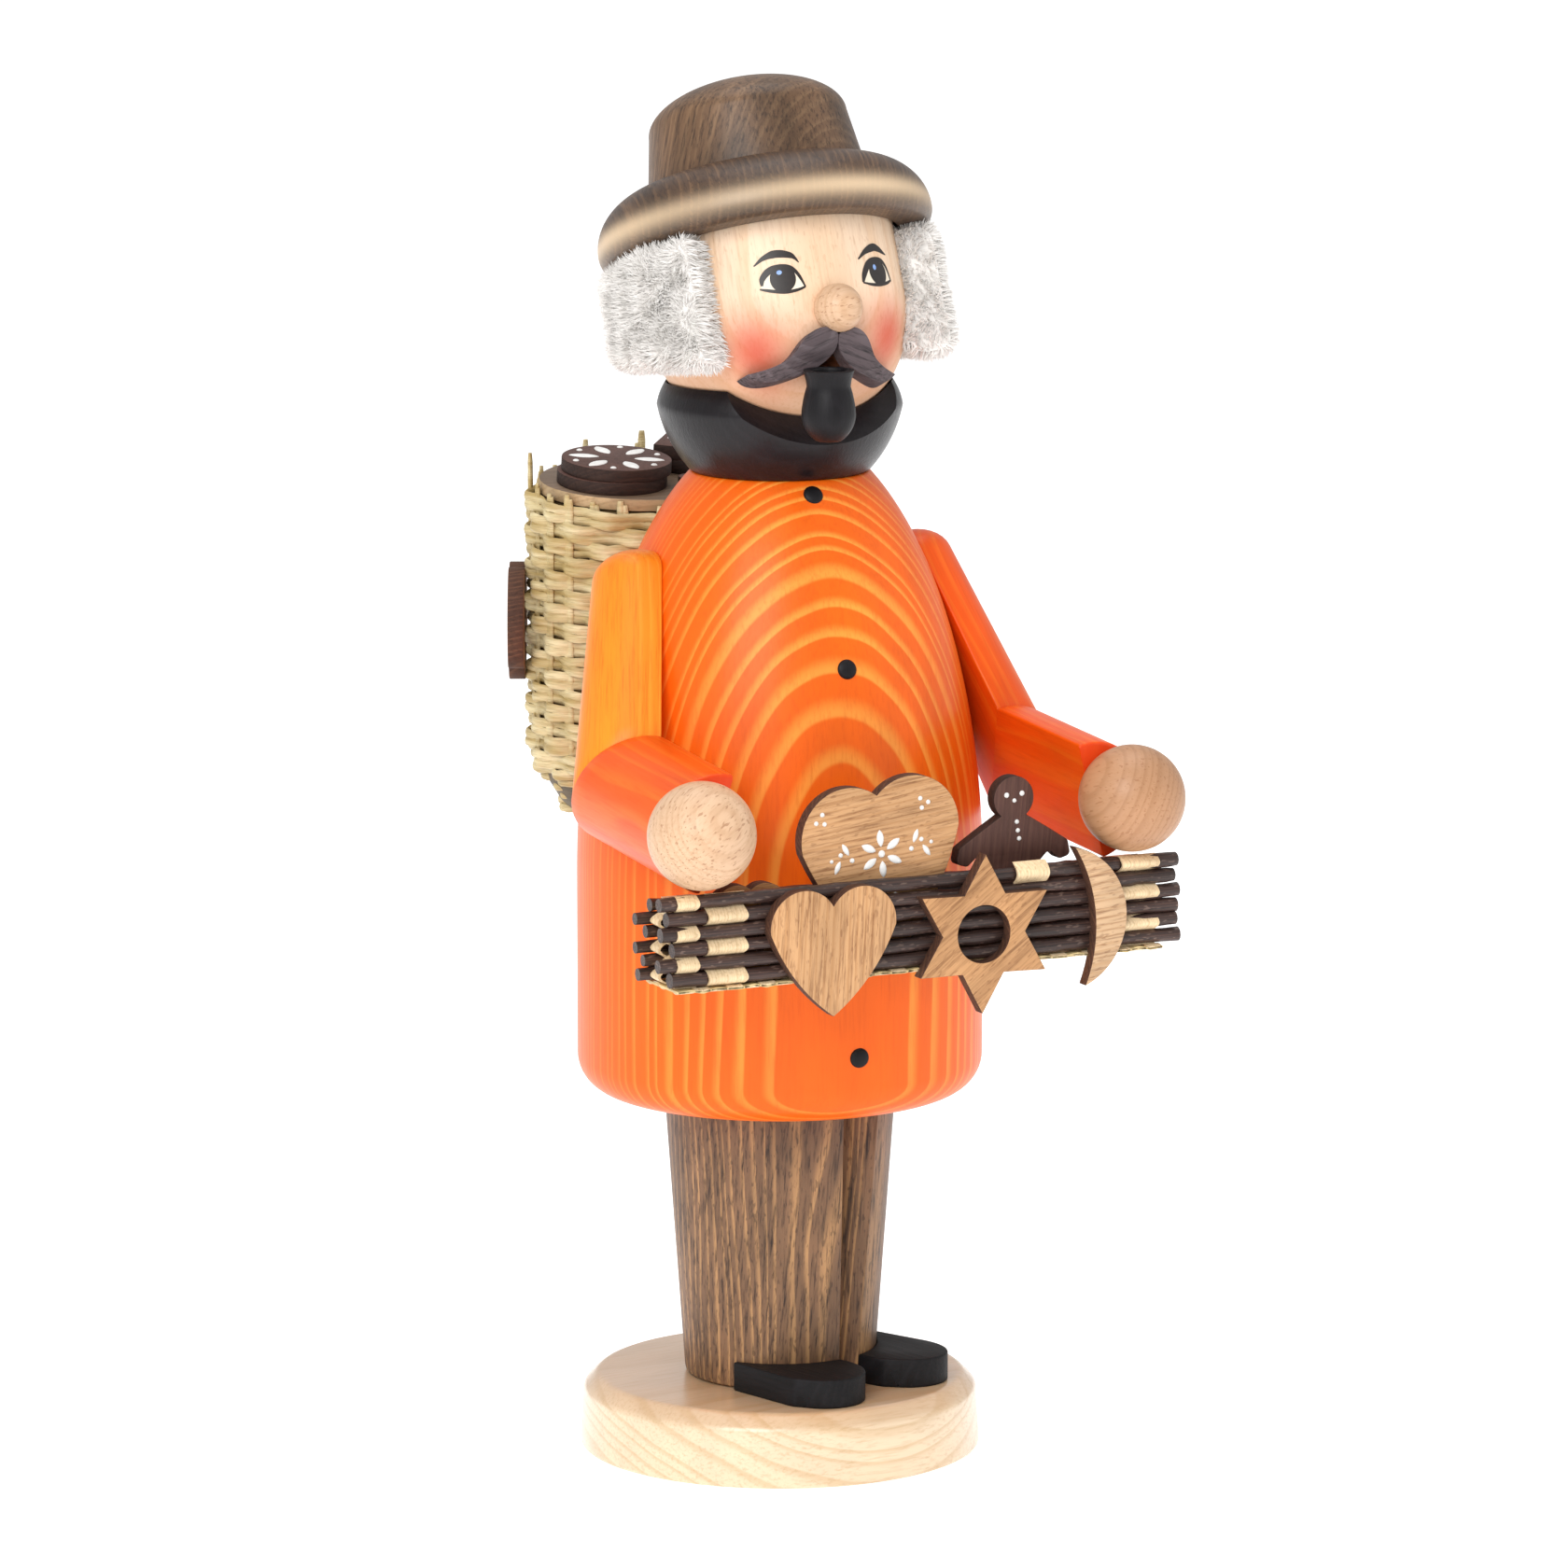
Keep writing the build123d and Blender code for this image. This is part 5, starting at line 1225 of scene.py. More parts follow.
# Each eye: the upper lid from left to right, the line under it, the iris and its light, and the brow.
EYES = {
    "right": (
        [(-31.6, 1.6), (-31.0, 2.5), (-28.4, 3.3), (-25.1, 3.75), (-20.2, 3.75), (-17.0, 3.3), (-14.6, 2.2),
         (-12.7, 0.7)],
        [(-32.7, 1.2), (-30.3, 0.95), (-26.4, 0.6), (-21.2, 0.3), (-16.2, 0.4), (-12.7, 0.7)],
        (-22.0, 2.15, 1.75, 1.85), (-23.2, 3.05, 0.36, 0.3),
        [(-33.8, 4.45), (-29.5, 5.25), (-25.0, 5.62), (-21.0, 5.55), (-17.2, 5.2), (-15.4, 4.75),
         (-13.9, 4.1)]),
    "left": (
        [(16.4, 0.9), (17.8, 2.0), (20.7, 3.3), (24.0, 4.0), (28.7, 4.25), (32.0, 4.0), (34.4, 3.1),
         (36.5, 1.5)],
        [(16.4, 0.85), (22.1, 0.65), (27.3, 0.75), (32.7, 1.1), (36.6, 1.6)],
        (27.2, 2.5, 1.8, 1.85), (25.0, 3.1, 0.3, 0.38),
        [(15.7, 4.1), (20.6, 5.2), (26.3, 5.9), (29.8, 5.8), (33.2, 5.4), (35.7, 5.1)]),
}
UPPER_LID_WIDTHS = (0.35, 0.8, 0.95, 0.8, 0.65, 0.5, 0.42, 0.2)
LOWER_LID_WIDTHS = (0.2, 0.4, 0.5, 0.42, 0.25)
BROW_WIDTHS = (0.15, 0.6, 1.05, 1.05, 0.8, 0.42, 0.1)
for side, (lid, under, iris, light, brow) in EYES.items():
    finish(patch(side + "_eye_white", lid, under, 0.02), "figure", "natural_limewood", eye_white)
    for painted in (stroke(side + "_upper_lid", lid, UPPER_LID_WIDTHS, 0.06),
                    stroke(side + "_lower_lid", under, LOWER_LID_WIDTHS, 0.06),
                    spot(side + "_iris", *iris, 0.05)):
        finish(painted, "figure", "black_paint", brushed_black)
    finish(spot(side + "_eye_light", *light, 0.1), "figure", "natural_limewood", brushed_blue)
    finish(stroke(side + "_brow", brow, BROW_WIDTHS, 0.06), "figure", "black_paint", brushed_black)

# %% [markdown]
# ## Hair of grey pile cloth
# A strip of grey pile cloth runs round the back of the head, cut off clean at the temples. The cloth is a
# rounded band, and Geometry Nodes plants thousands of thin hairs on it. A slow noise gives neighbours the
# same lean, which makes the tufts, and each hair is a bent spike of a few faces.

# %% Pile band
HAIR_TOP, HAIR_OUT, HAIR_ANGLE = 9.5, 22.3, 56.0
HAIR_BOTTOM = -7.8          # at the two ends of the band
HAIR_RISE = tan(radians(13))


def hair_loop(phi):
    """Section of the band at an angle round the head. Its lower edge climbs to the back."""
    a = radians(phi)
    bottom = HAIR_BOTTOM + 23.4 * (cos(radians(HAIR_ANGLE)) - cos(a)) * HAIR_RISE
    middle = (bottom + HAIR_TOP) / 2
    section = softened([(17, middle), (17, bottom), (HAIR_OUT, bottom), (HAIR_OUT, HAIR_TOP), (17, HAIR_TOP),
                        (17, middle)], 2.2, 6)[:-1]
    loop = []
    for radius, t in section:
        if radius > 17.01:
            radius *= 1 + 0.012 * sin(phi * 0.21 + t * 0.6) + 0.010 * sin(phi * 0.47 - t * 0.9)
        else:
            radius = skin_radius(t) - 0.4
        loop.append(tuple(head_place @ Vector((radius * sin(a), -radius * cos(a), t))))
    return loop


def clear_collar(points):
    """Moves what would lie in the collar up onto its rim."""
    moved = []
    for x, y, z in points:
        if np.hypot(x, y) < 17.1 and z < 148.4:
            z = 148.4
        moved.append((x, y, z))
    return moved


def fur_tree():
    tree, given = geometry_tree("pile_on_cloth", Geometry="Geometry", Hair="Object", Density="Float",
                                Tuft_size="Float", Seed="Int", Finish="Material")
    nap = add(tree, "GeometryNodeInputNamedAttribute", {"Name": "nap"}, data_type="FLOAT")
    density = add(tree, "ShaderNodeMath", {0: nap, 1: given["Density"]}, operation="MULTIPLY")
    planted = add(tree, "GeometryNodeDistributePointsOnFaces",
                  {"Mesh": given["Geometry"], "Density": density, "Seed": given["Seed"]})
    here = add(tree, "GeometryNodeInputPosition")
    tufts = add(tree, "ShaderNodeTexNoise", {"Vector": here, "Scale": given["Tuft size"], "Detail": 1.5})
    lean = add(tree, "ShaderNodeVectorMath", {0: tufts.outputs["Color"], 1: (0.5, 0.5, 0.56)},
               operation="SUBTRACT")
    strong = add(tree, "ShaderNodeVectorMath", {0: lean, "Scale": 1.9}, operation="SCALE")
    stray = add(tree, "FunctionNodeRandomValue", {0: (-0.22, -0.22, -0.3), 1: (0.22, 0.22, 0.2),
                                                  "Seed": given["Seed"]}, data_type="FLOAT_VECTOR")
    loose = add(tree, "ShaderNodeVectorMath", {0: strong, 1: stray}, operation="ADD")
    rise = add(tree, "ShaderNodeVectorMath", {0: planted.outputs["Normal"], "Scale": 0.75},
               operation="SCALE")
    way = add(tree, "ShaderNodeVectorMath", {0: loose, 1: rise}, operation="ADD")
    turn = add(tree, "FunctionNodeAlignRotationToVector", {"Vector": way}, axis="Z")
    length = add(tree, "FunctionNodeRandomValue", {2: 0.7, 3: 1.15, "Seed": given["Seed"]},
                 data_type="FLOAT").outputs[1]
    shape = add(tree, "GeometryNodeObjectInfo", {"Object": given["Hair"]}).outputs["Geometry"]
    grown = add(tree, "GeometryNodeInstanceOnPoints", {"Points": planted.outputs["Points"], "Instance": shape,
                                                       "Rotation": turn, "Scale": length})
    return end_tree(tree, grown, given["Finish"])


pile = clouded("grey_acrylic_pile", "#E6E3DF", "#F6F3F0", 0.85, 420.0, 3.0, (0.35, 0.65))
pile_shader = pile.node_tree.nodes["Principled BSDF"].inputs
pile_shader["Sheen Weight"].default_value = 0.35
pile_shader["Sheen Roughness"].default_value = 0.4

hair_tip = []
for share, thick in ((0, 0.11), (0.55, 0.085)):
    hair_tip.append([(0.5 * share**2 + thick * cos(a), thick * sin(a), 1.6 * share)
                     for a in np.radians((0, 120, 240))])
hair = loft("hair", hair_tip + [[(0.5, 0, 1.55)]])
pile_growth = fur_tree()


def nap(points):
    """How thick the pile stands: less in the last few degrees before the front ends of the strip."""
    from_back = abs(180 - head_coordinates(points)[0] % 360)
    return 0.6 + (180 - HAIR_ANGLE - from_back) / 5.0


for number, (start, end) in enumerate(((HAIR_ANGLE, 180.0), (180.0, 360.0 - HAIR_ANGLE))):
    side = ("left", "right")[number]
    loops = [clear_collar(hair_loop(phi)) for phi in np.linspace(start, end, 60)]
    cloth = loft("hair_cloth_" + side, loops)
    paint_mask(cloth, "nap", nap)
    grown = cloth.copy()
    grown.data = cloth.data.copy()
    grown.name = "hair_pile_" + side
    bpy.context.collection.objects.link(grown)
    feed(grown, pile_growth, Hair=hair, Density=1.5e7, Tuft_size=250.0, Seed=7 + number, Finish=pile)
    finish(cloth, "figure", "grey_pile", pile, node="hair_band")
    finish(grown, "figure", "grey_pile", node="hair_band")
bpy.data.objects.remove(hair)

# %% [markdown]
# ## The tray
# The tray is tied together from willow sticks with the bark on. No stick is quite straight or quite round,
# so each one starts as a line, and Geometry Nodes bends it with a slow noise, gives it an uneven radius and
# sweeps a circle along it. The ends are left as uneven as the real ones.

# %% Willow sticks
def stick_tree():
    tree, given = geometry_tree("sticks_with_bark", Geometry="Geometry", Radius="Float", Bend="Float",
                                Sides="Int", Finish="Material")
    lines = add(tree, "GeometryNodeMeshToCurve", {"Mesh": given["Geometry"]})
    fine = add(tree, "GeometryNodeResampleCurve", {"Curve": lines, "Length": 0.0011}, mode="LENGTH")
    here = add(tree, "GeometryNodeInputPosition")
    stretched = add(tree, "ShaderNodeVectorMath", {0: here, 1: (60, 700, 700)}, operation="MULTIPLY")
    drift = add(tree, "ShaderNodeTexNoise", {"Vector": stretched, "Scale": 1.0, "Detail": 1.0})
    drift = drift.outputs["Color"]
    centred = add(tree, "ShaderNodeVectorMath", {0: drift, 1: (0.5, 0.5, 0.5)}, operation="SUBTRACT")
    push = add(tree, "ShaderNodeVectorMath", {0: centred, "Scale": given["Bend"]}, operation="SCALE")
    bent = add(tree, "GeometryNodeSetPosition", {"Geometry": fine, "Offset": push})
    knots = add(tree, "ShaderNodeTexNoise", {"Vector": stretched, "Scale": 5.0, "Detail": 2.0})
    uneven = add(tree, "ShaderNodeMapRange", {"Value": knots, "From Min": 0.25, "From Max": 0.75,
                                              "To Min": 0.78, "To Max": 1.08})
    radius = add(tree, "ShaderNodeMath", {0: uneven, 1: given["Radius"]}, operation="MULTIPLY")
    circle = add(tree, "GeometryNodeCurvePrimitiveCircle", {"Resolution": given["Sides"], "Radius": 1.0})
    tube = add(tree, "GeometryNodeCurveToMesh", {"Curve": bent, "Profile Curve": circle, "Scale": radius,
                                                 "Fill Caps": True})
    return end_tree(tree, tube, given["Finish"])


def line_object(name, lines):
    """A mesh of separate straight lines, in millimetres."""
    mesh = bpy.data.meshes.new(name)
    ends = [tuple(c * MM for c in p) for line in lines for p in line]
    mesh.from_pydata(ends, [(2 * k, 2 * k + 1) for k in range(len(lines))], [])
    return linked(name, mesh)


willow_bark = wood("willow_bark", "#3A2722", "#563C32", pith=(0, -42, 60), along=(1, 0, 0), ring=0.35,
                   waver=1.5, contrast=0.7, streak="#1A1210", streaks=0.8, fleck="#7E665A", flecks=0.5,
                   mottle=0.5, rough=0.45, gloss=0.3, relief=0.8, seed=81.0)
sticks = stick_tree()
TRAY_LENGTH, TRAY_FRONT, TRAY_DEPTH, TRAY_TOP = 72.0, -42.55, 7.1, 86.75
FRONT_STICK, BACK_STICK, STICK_ROWS = 2.05, 1.82, 6
TRAY_FLOOR = TRAY_TOP - STICK_ROWS * FRONT_STICK
LONGEST_END = 2.6
END_SHARES = (0.35, 1, 0.15, 0.8, 0.5, 0.9)
for node, y, thick, first in (("tray_front_sticks", TRAY_FRONT, FRONT_STICK, 0),
                              ("tray_back_sticks", TRAY_FRONT + TRAY_DEPTH, BACK_STICK, 3)):
    lines = []
    for row in range(STICK_ROWS):
        left = TRAY_LENGTH / 2 + LONGEST_END * END_SHARES[(row + first) % STICK_ROWS]
        right = TRAY_LENGTH / 2 + LONGEST_END * END_SHARES[(row * 2 + first + 1) % STICK_ROWS]
        z = TRAY_FLOOR + thick * (row + 0.5)
        lines.append(((-left, y, z), (right, y, z)))
    bundle = line_object(node, lines)
    feed(bundle, sticks, Radius=thick / 2 * MM, Bend=0.8 * MM, Sides=12, Finish=willow_bark)
    tidy_mesh(bundle, 50)
    finish(bundle, "figure", "willow_bark", node=node)

# %% [markdown]
# ## Woven canes
# Flat split canes weave over and under the sticks at the tray's ends, and the mat below is plaited from
# the same cane. A strap is one long box with many cuts, and Geometry Nodes bends it to a wave whose pitch
# is the spacing of what it weaves through. Turned round its own length, it becomes the next strap, which
# passes under where the first passes over.

# %% Straps
def strap_tree():
    tree, given = geometry_tree("woven_strap", Width="Float", Thickness="Float", Length="Float",
                                Pitch="Float", Reach="Float", Finish="Material")
    size = add(tree, "ShaderNodeCombineXYZ", {"X": given["Width"], "Y": given["Thickness"],
                                              "Z": given["Length"]})
    box = add(tree, "GeometryNodeMeshCube", {"Size": size, "Vertices X": 4, "Vertices Y": 2,
                                             "Vertices Z": 40})
    spot = add(tree, "ShaderNodeSeparateXYZ", {0: add(tree, "GeometryNodeInputPosition")})
    half = add(tree, "ShaderNodeMath", {0: given["Length"], 1: 0.5}, operation="MULTIPLY")
    foot = add(tree, "ShaderNodeMath", {0: spot.outputs["Z"], 1: half}, operation="ADD")
    rows = add(tree, "ShaderNodeMath", {0: foot, 1: given["Pitch"]}, operation="DIVIDE")
    angle = add(tree, "ShaderNodeMath", {0: rows, 1: pi}, operation="MULTIPLY")
    wave = add(tree, "ShaderNodeMath", {0: angle}, operation="SINE")
    out = add(tree, "ShaderNodeMath", {0: wave, 1: given["Reach"]}, operation="MULTIPLY")
    offset = add(tree, "ShaderNodeCombineXYZ", {"Y": out, "Z": half})
    bent = add(tree, "GeometryNodeSetPosition", {"Geometry": box, "Offset": offset})
    return end_tree(tree, bent, given["Finish"])


def fibrous(name, light, dark, along, seed):
    """Split cane or straw: glossy outer skin with fine fibres along it."""
    return wood(name, light, dark, pith=(3, -50, 300), along=along, ring=0.45, waver=0.8, contrast=0.5,
                streak="#9A7644", streaks=0.45, mottle=0.2, rough=0.5, relief=0.35, seed=seed)


split_cane = fibrous("split_cane", "#EED4AC", "#D8B684", (0, 0, 1), 91.0)
mat_cane = fibrous("split_cane_of_the_mat", "#E2C992", "#C8A66A", (1, 0, 0), 92.0)
straps = strap_tree()


def strap(width, thick, length, pitch, reach):
    """One wavy strap along Z, with its sizes in millimetres."""
    piece = linked("strap", bpy.data.meshes.new("strap"))
    return feed(piece, straps, Width=width * MM, Thickness=thick * MM, Length=length * MM, Pitch=pitch * MM,
                Reach=reach * MM, Finish=split_cane)


def woven(name, pattern, spots, node=None):
    piece = placed_copies(name, pattern, spots, split_cane)
    tidy_mesh(piece, 50)
    finish(piece, "figure", "split_cane", node=node)


CANE_THICK = 0.42
tall = strap(5.6, CANE_THICK, STICK_ROWS * FRONT_STICK, FRONT_STICK, 1.3)
short = strap(4.4, CANE_THICK, STICK_ROWS * BACK_STICK, BACK_STICK, 1.1)
narrow = strap(2.3, CANE_THICK, STICK_ROWS * BACK_STICK, BACK_STICK, 1.1)
front_spots, back_spots = [], []
for number, share in enumerate((-0.48, -0.40, 0.45)):
    flip = (-1) ** number
    narrowing = 0.55 if number == 0 else 1
    front_spots.append(((TRAY_LENGTH * share, TRAY_FRONT, TRAY_FLOOR), (0, 0, 1), (flip, 0, 0),
                        (narrowing, 1, 1)))
for number, share in enumerate((-0.45, 0.27, 0.46)):
    flip = (-1) ** number
    back_spots.append(((TRAY_LENGTH * share, TRAY_FRONT + TRAY_DEPTH, TRAY_FLOOR), (0, 0, 1), (flip, 0, 0),
                       (1, 1, 1)))
woven("tray_front_canes", tall, front_spots, "tray_front_canes")
hook = strap(4.8, CANE_THICK, 3.0, 3.0, 1.35)
woven("tray_hook_cane", hook, [((TRAY_LENGTH * 0.224, TRAY_FRONT, TRAY_TOP - 2.5), (0, 0, 1), (-1, 0, 0),
                                (1, 1, 1))])
woven("tray_back_canes", short, back_spots, "tray_back_canes")
end_spots = [((side * (TRAY_LENGTH / 2 - 0.5), TRAY_FRONT + y, TRAY_FLOOR), (0, 0, 1), (0, side * flip, 0),
              (1, 1, 1)) for side in (-1, 1) for y, flip in ((2.2, 1), (4.8, -1))]
woven("tray_end_canes", narrow, end_spots, "tray_end_canes")
for pattern in (tall, short, narrow, hook):
    bpy.data.objects.remove(pattern)

long_strap = strap(1.9, 0.3, TRAY_LENGTH, 2.4, 0.2)
cross_strap = strap(2.2, 0.3, 9.9, 2.0, 0.2)
mat_z, mat_front = TRAY_FLOOR - CANE_THICK, TRAY_FRONT - 1.0
mat_spots = [((-TRAY_LENGTH / 2, mat_front + 1.0 + 2.0 * k, mat_z), (1, 0, 0), (0, (-1) ** k, 0), (1, 1, 1))
             for k in range(5)]
cross_spots = [((-TRAY_LENGTH / 2 + 1.2 + 2.4 * k, mat_front + 0.05, mat_z), (0, 1, 0), ((-1) ** k, 0, 0),
                (1, 1, 1)) for k in range(30)]
mat = placed_copies("tray_mat", long_strap, mat_spots, mat_cane)
crossing = placed_copies("tray_mat_cross", cross_strap, cross_spots, split_cane)
tidy_mesh(crossing, 50)
tidy_mesh(mat, 50)
finish(mat, "figure", "split_cane", node="tray_mat")
finish(crossing, "figure", "split_cane", node="tray_mat")
for pattern in (long_strap, cross_strap):
    bpy.data.objects.remove(pattern)

# %% [markdown]
# ## The basket
# The basket is plaited in plain weave: upright stakes, and straw that passes outside one stake and inside
# the next. Each round is a circle with many points. Geometry Nodes stacks the circles, stretches them to
# the oval, lets them follow the leaning rim, and pushes every point in or out by a wave whose length is two
# stakes. Two straws share each round, and the next round passes the other side of each stake.

# %% Plaited straw
BASKET_Y = (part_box("basket")[0].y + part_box("basket")[1].y) / 2 / MM
BASKET_FLOOR, BASKET_RIM = 82.0, 127.2
BASKET_WIDE, BASKET_DEEP = 17.7, 14.5
STAKES = 22
ROUNDS = 19
POINTS_PER_STAKE = 8.0
FOOT_SHARE = 0.72           # of the basket's width, at its floor


def weave_tree():
    tree, given = geometry_tree("plaited_rounds", Straws="Int", Stakes="Int", Half_width="Float",
                                Half_depth="Float", Middle="Float", Floor="Float", Height="Float",
                                Lean="Float", Foot_height="Float", Reach="Float", Straw="Float",
                                Uneven="Float", Finish="Material")
    stack = add(tree, "GeometryNodeMeshLine", {"Count": given["Straws"], "Offset": (0, 0, 0)})
    number = add(tree, "GeometryNodeInputIndex")
    marked = add(tree, "GeometryNodeStoreNamedAttribute",
                 {"Geometry": stack, "Name": "straw", "Value": number}, data_type="FLOAT", domain="POINT")
    points = add(tree, "ShaderNodeMath", {0: given["Stakes"], 1: POINTS_PER_STAKE}, operation="MULTIPLY")
    circle = add(tree, "GeometryNodeCurvePrimitiveCircle", {"Resolution": points, "Radius": 1.0})
    circles = add(tree, "GeometryNodeInstanceOnPoints", {"Points": marked, "Instance": circle})
    real = add(tree, "GeometryNodeRealizeInstances", {"Geometry": circles})
    which = add(tree, "GeometryNodeInputNamedAttribute", {"Name": "straw"}, data_type="FLOAT")
    spot = add(tree, "ShaderNodeSeparateXYZ", {0: add(tree, "GeometryNodeInputPosition")}).outputs
    apart = add(tree, "ShaderNodeMath", {0: which, 1: 3.7}, operation="MULTIPLY")
    place = add(tree, "ShaderNodeCombineXYZ", {"X": spot[0], "Y": spot[1], "Z": apart})
    stray = add(tree, "ShaderNodeTexNoise", {"Vector": place, "Scale": 5.0, "Detail": 2.0})
    parts = add(tree, "ShaderNodeSeparateXYZ", {0: stray.outputs["Color"]}).outputs

    # Each row is a sum: its name, the operation and what goes in, by name or as a number.
    known = {**dict(given.items()), "which": which, "x": spot[0], "y": spot[1], "stray_in": parts[0],
             "stray_up": parts[1]}
    for name, operation, *values in (
            ("round", "DIVIDE", "which", 2.0),
            ("round", "FLOOR", "round"),
            ("shift", "MULTIPLY", "round", pi),
            ("angle", "ARCTAN2", "y", "x"),
            ("steps", "MULTIPLY", "angle", "Stakes"),
            ("steps", "MULTIPLY", "steps", 0.5),
            ("steps", "ADD", "steps", "shift"),
            ("wave", "COSINE", "steps"),
            ("up", "ADD", "which", 0.5),
            ("up", "DIVIDE", "up", "Straws"),
            ("depth", "MULTIPLY", "y", "Half depth"),
            ("slope", "TANGENT", "Lean"),
            ("rise", "MULTIPLY", "depth", "slope"),
            ("rise", "ADD", "Height", "rise"),
            ("height", "MULTIPLY", "up", "rise"),
            ("loose", "SUBTRACT", "stray_in", 0.5),
            ("loose", "MULTIPLY", "loose", "Uneven"),
            ("drop", "SUBTRACT", "stray_up", 0.5),
            ("drop", "MULTIPLY", "drop", "Uneven"),
            ("swing", "MULTIPLY", "wave", "Reach"),
            ("swing", "ADD", "swing", "loose"),
            ("inset", "MULTIPLY", "Straw", -1.2),
            ("inset", "ADD", "swing", "inset"),
            ("z", "ADD", "height", "Floor"),
            ("z", "ADD", "z", "drop")):
        inputs = {k: known[v] if isinstance(v, str) else v for k, v in enumerate(values)}
        known[name] = add(tree, "ShaderNodeMath", inputs, operation=operation)
    foot = add(tree, "ShaderNodeMapRange", {"Value": known["height"], "From Max": given["Foot height"],
                                            "To Min": FOOT_SHARE}, interpolation_type="SMOOTHERSTEP")
    for way, half in (("x", "Half width"), ("y", "Half depth")):
        reach = add(tree, "ShaderNodeMath", {0: given[half], 1: foot}, operation="MULTIPLY")
        reach = add(tree, "ShaderNodeMath", {0: reach, 1: known["inset"]}, operation="ADD")
        known[way] = add(tree, "ShaderNodeMath", {0: known[way], 1: reach}, operation="MULTIPLY")
    y = add(tree, "ShaderNodeMath", {0: known["y"], 1: given["Middle"]}, operation="ADD")
    target = add(tree, "ShaderNodeCombineXYZ", {"X": known["x"], "Y": y, "Z": known["z"]})
    moved = add(tree, "GeometryNodeSetPosition", {"Geometry": real, "Position": target})
    upright = add(tree, "GeometryNodeSetCurveNormal", {"Curve": moved}, mode="Z_UP")
    profile = add(tree, "GeometryNodeCurvePrimitiveCircle", {"Resolution": 8, "Radius": given["Straw"]})
    flat = add(tree, "GeometryNodeTransform", {"Geometry": profile, "Scale": (0.55, 1.0, 1.0)})
    thin = add(tree, "ShaderNodeMapRange", {"Value": parts[2], "From Min": 0.3, "From Max": 0.7,
                                            "To Min": 0.75, "To Max": 1.1})
    tube = add(tree, "GeometryNodeCurveToMesh", {"Curve": upright, "Profile Curve": flat, "Scale": thin})
    return end_tree(tree, tube, given["Finish"])


def straw_material(name, light, dark, shadow):
    """Dry straw. Its colour changes from stem to stem, with darker fibres along each stem."""
    material, tree, shader, place = new_material(name)
    stems = add(tree, "ShaderNodeVectorMath", {0: place, 1: (90, 90, 900)}, operation="MULTIPLY")
    stem = add(tree, "ShaderNodeTexNoise", {"Vector": stems, "Scale": 1.0, "Detail": 2.0})
    lines = add(tree, "ShaderNodeVectorMath", {0: place, 1: (500, 500, 9000)}, operation="MULTIPLY")
    fibre = add(tree, "ShaderNodeTexNoise", {"Vector": lines, "Scale": 1.0, "Detail": 3.0})
    spread = add(tree, "ShaderNodeMapRange", {"Value": stem, "From Min": 0.35, "From Max": 0.65})
    colour = add(tree, "ShaderNodeMix", {"Factor": spread, "A": linear(light), "B": linear(dark)},
                 data_type="RGBA").outputs["Result"]
    fine = add(tree, "ShaderNodeMapRange", {"Value": fibre, "From Min": 0.45, "From Max": 0.8, "To Max": 0.6})
    colour = add(tree, "ShaderNodeMix", {"Factor": fine, "A": colour, "B": linear(shadow)},
                 data_type="RGBA").outputs["Result"]
    tree.links.new(colour, shader["Base Color"])
    bump = add(tree, "ShaderNodeBump", {"Height": fibre, "Strength": 0.5, "Distance": 0.2 * MM})
    tree.links.new(bump.outputs[0], shader["Normal"])
    shader["Roughness"].default_value = 0.5
    return material


plaited_straw = straw_material("dry_plaited_straw", "#DCCCA0", "#B39A62", "#7E6434")
lean_height = BASKET_RIM - BASKET_FLOOR
weave = linked("basket_weave", bpy.data.meshes.new("basket_weave"))
feed(weave, weave_tree(), Straws=2 * ROUNDS, Stakes=STAKES, Middle=BASKET_Y * MM, Floor=BASKET_FLOOR * MM,
     Height=lean_height * MM, Lean=LID_LEAN, Reach=0.75 * MM, Straw=0.74 * MM, Uneven=0.9 * MM,
     Finish=plaited_straw, Half_width=BASKET_WIDE * MM, Half_depth=BASKET_DEEP * MM, Foot_height=10 * MM)
tidy_mesh(weave, 60)
finish(weave, "figure", "plaited_straw", node="basket")

# %% [markdown]
# A dark shell lies behind the plaited rounds, so no light comes through between two straws. Its dark straw
# colour is painted shadow for the basket's inside. Its rim leans with the lid.

# %% Basket shadow shell and floor
SHADOW_SHELL_SEGMENTS = 96
shadow_shell = [[(0, BASKET_Y, BASKET_FLOOR + 0.6)]]
for share, height, lean in ((0.66, 0.6, 0), (0.72, 1.6, 0), (0.84, 5, 0), (0.9, 10, 0),
                            (0.9, lean_height - 0.2, tan(LID_LEAN))):
    loop = []
    for k in range(SHADOW_SHELL_SEGMENTS):
        a = 2 * pi * k / SHADOW_SHELL_SEGMENTS
        y = BASKET_DEEP * share * sin(a)
        loop.append((BASKET_WIDE * share * cos(a), BASKET_Y + y, BASKET_FLOOR + height + lean * y))
    shadow_shell.append(loop)
dark_straw = straw_material("straw_in_shadow", "#6B5730", "#4E3D20", "#2E2312")
finish(loft("basket_lining", shadow_shell), "figure", "plaited_straw", dark_straw, node="basket")

# %% [markdown]
# The stakes are split reeds that stand through the whole weave, and their ends stick out of the rim as they
# were cut. One stake is made once and set round the oval, each with its own length.

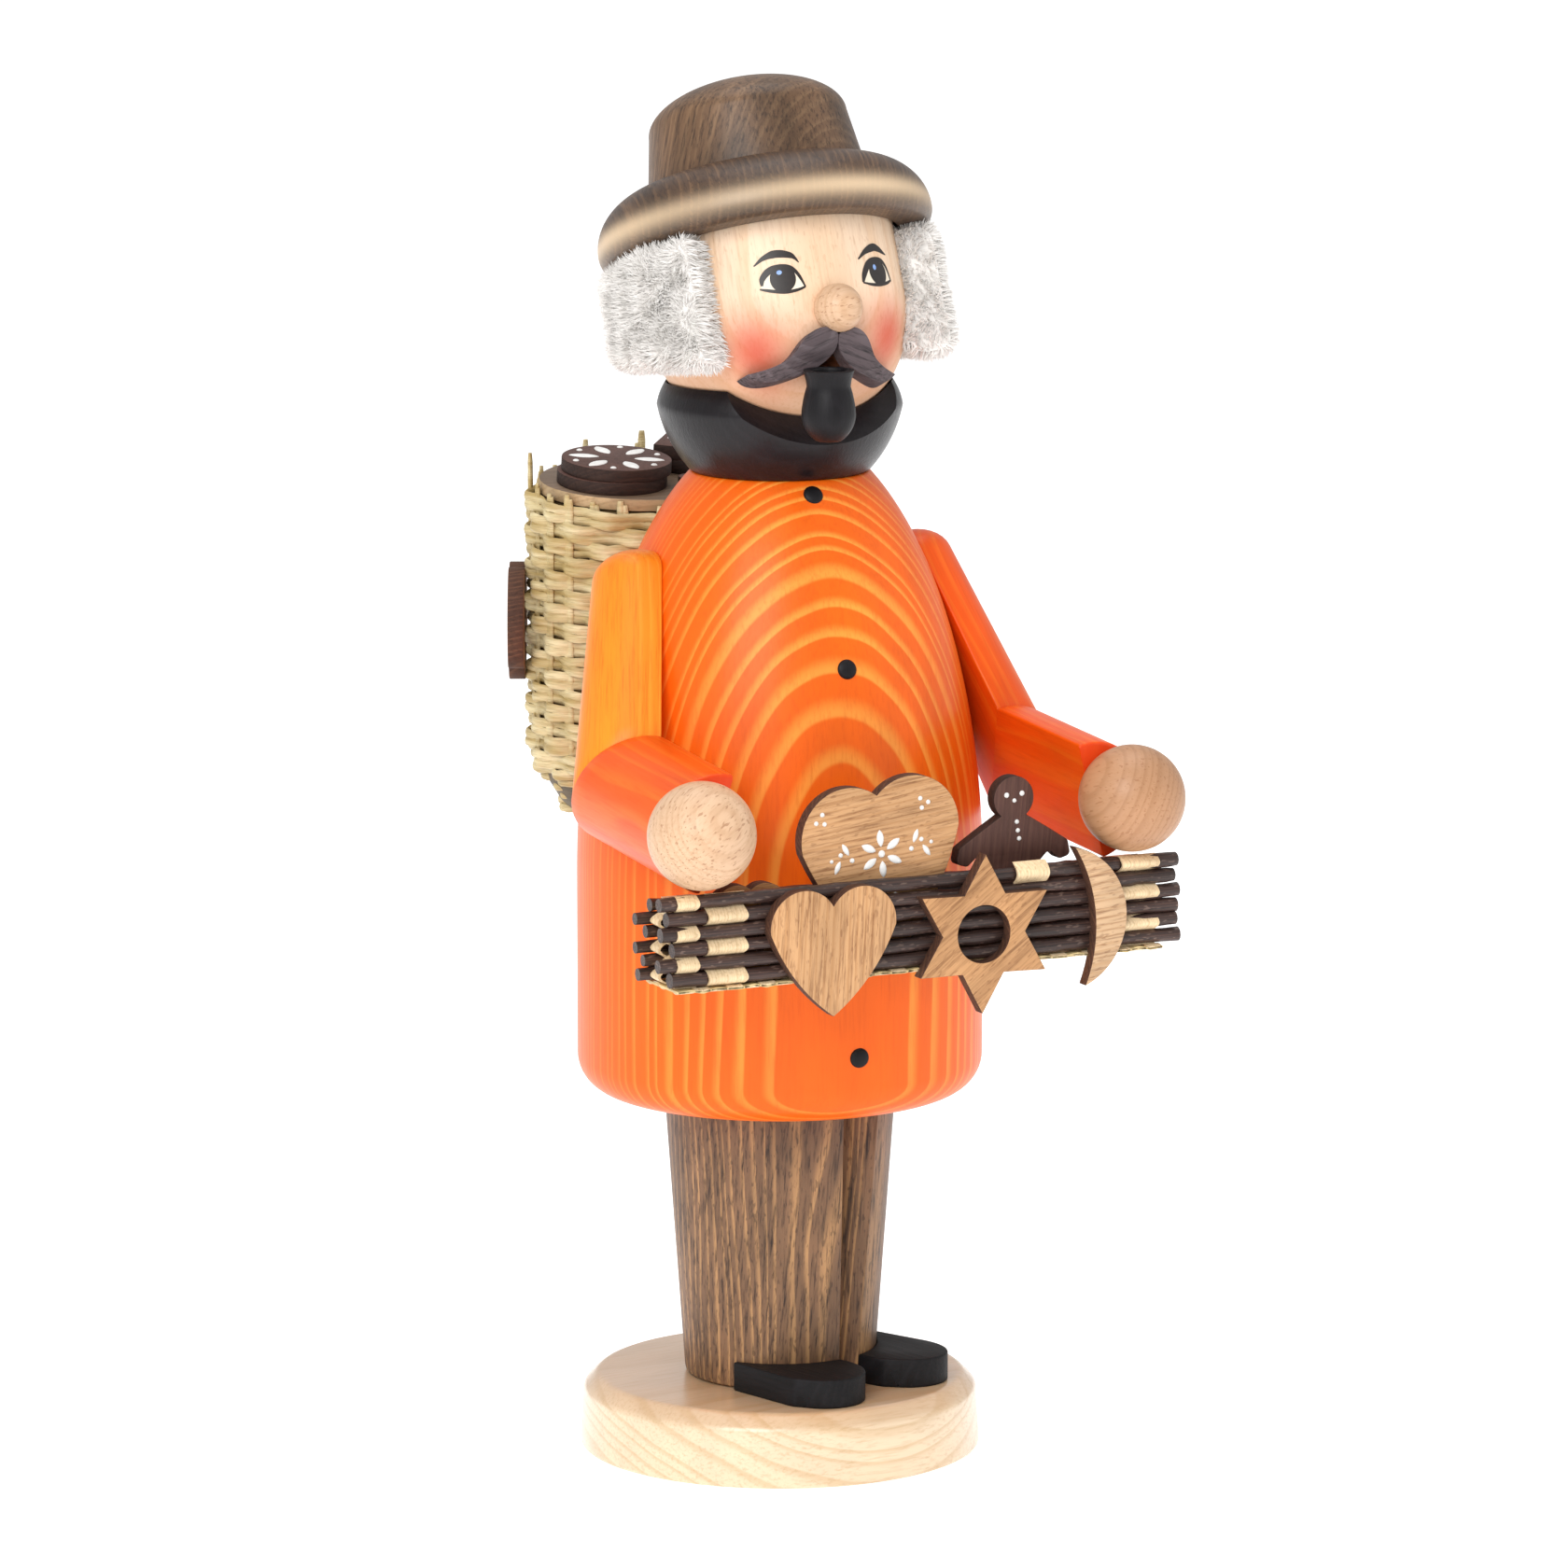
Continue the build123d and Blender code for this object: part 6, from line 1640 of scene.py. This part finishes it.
# %% Basket stakes
stake_loops = []
for share, size in ((0, 0.9), (0.04, 1), (0.3, 0.96), (0.6, 1.0), (0.97, 0.98), (1, 0.7)):
    stake_loops.append([(0.55 * size * cos(a), 0.36 * size * sin(a), share)
                        for a in np.linspace(0, 2 * pi, 8, endpoint=False)])
stake = loft("stake", stake_loops)
STAKE_INSET, LONGEST_STUB = 1.15, 5.0
STUB_SHARES = (0.3, 0.5, 0.3, 0.4, 1, 0.3, 0.9, 0.3, 0.4, 0.95, 0.3,
               0.2, 0.3, 0.2, 0.3, 0.2, 0.2, 0.3, 0.5, 0.3, 0.6, 0.3)
stake_spots = []
for k in range(STAKES):
    for extra, slip in ((0, 0), (1, 0.035)):
        a = 2 * pi * (k + 0.5) / STAKES + slip
        x, y = (BASKET_WIDE - STAKE_INSET) * cos(a), (BASKET_DEEP - STAKE_INSET) * sin(a)
        rim = BASKET_RIM + y * tan(LID_LEAN)
        tip = rim + LONGEST_STUB * STUB_SHARES[k] * (1 - 0.35 * extra)
        low = BASKET_FLOOR + 9
        stake_spots.append(((x, BASKET_Y + y, low), (0.02 * cos(3 * k), 0.02 * sin(5 * k), 1),
                            (-sin(a), cos(a), 0), (1, 1, tip - low)))
stakes = placed_copies("basket_stakes", stake, stake_spots, plaited_straw)
tidy_mesh(stakes, 50)
finish(stakes, "figure", "plaited_straw", node="basket_stakes")
bpy.data.objects.remove(stake)

# %% [markdown]
# ## Hidden dowels and the floor
# The other dowels stay as the construction model has them, in plain beech. The floor is a wide pale sheet
# that isn't part of the object.

# %% Dowels and floor
dowel_beech = beech("beech_dowel_rod", (0, 30, 0), (0, 0, 1), 99.0)
for node in ("leg_dowel", "hat_dowel", "shoulder_dowels"):
    dress_node(node, dowel_beech)

floor_mesh = bpy.data.meshes.new("floor")
floor_mesh.from_pydata([(-4, -4, 0), (4, -4, 0), (4, 4, 0), (-4, 4, 0)], [], [(0, 1, 2, 3)])
floor = linked("floor", floor_mesh)
floor_paper, _, paper_shader, _ = new_material("white_background_paper")
for key, value in (("Base Color", linear("#FAFAFA")), ("Roughness", 0.7), ("Emission Color", (1, 1, 1, 1)),
                   ("Emission Strength", 0.45)):
    paper_shader[key].default_value = value
floor_mesh.materials.append(floor_paper)
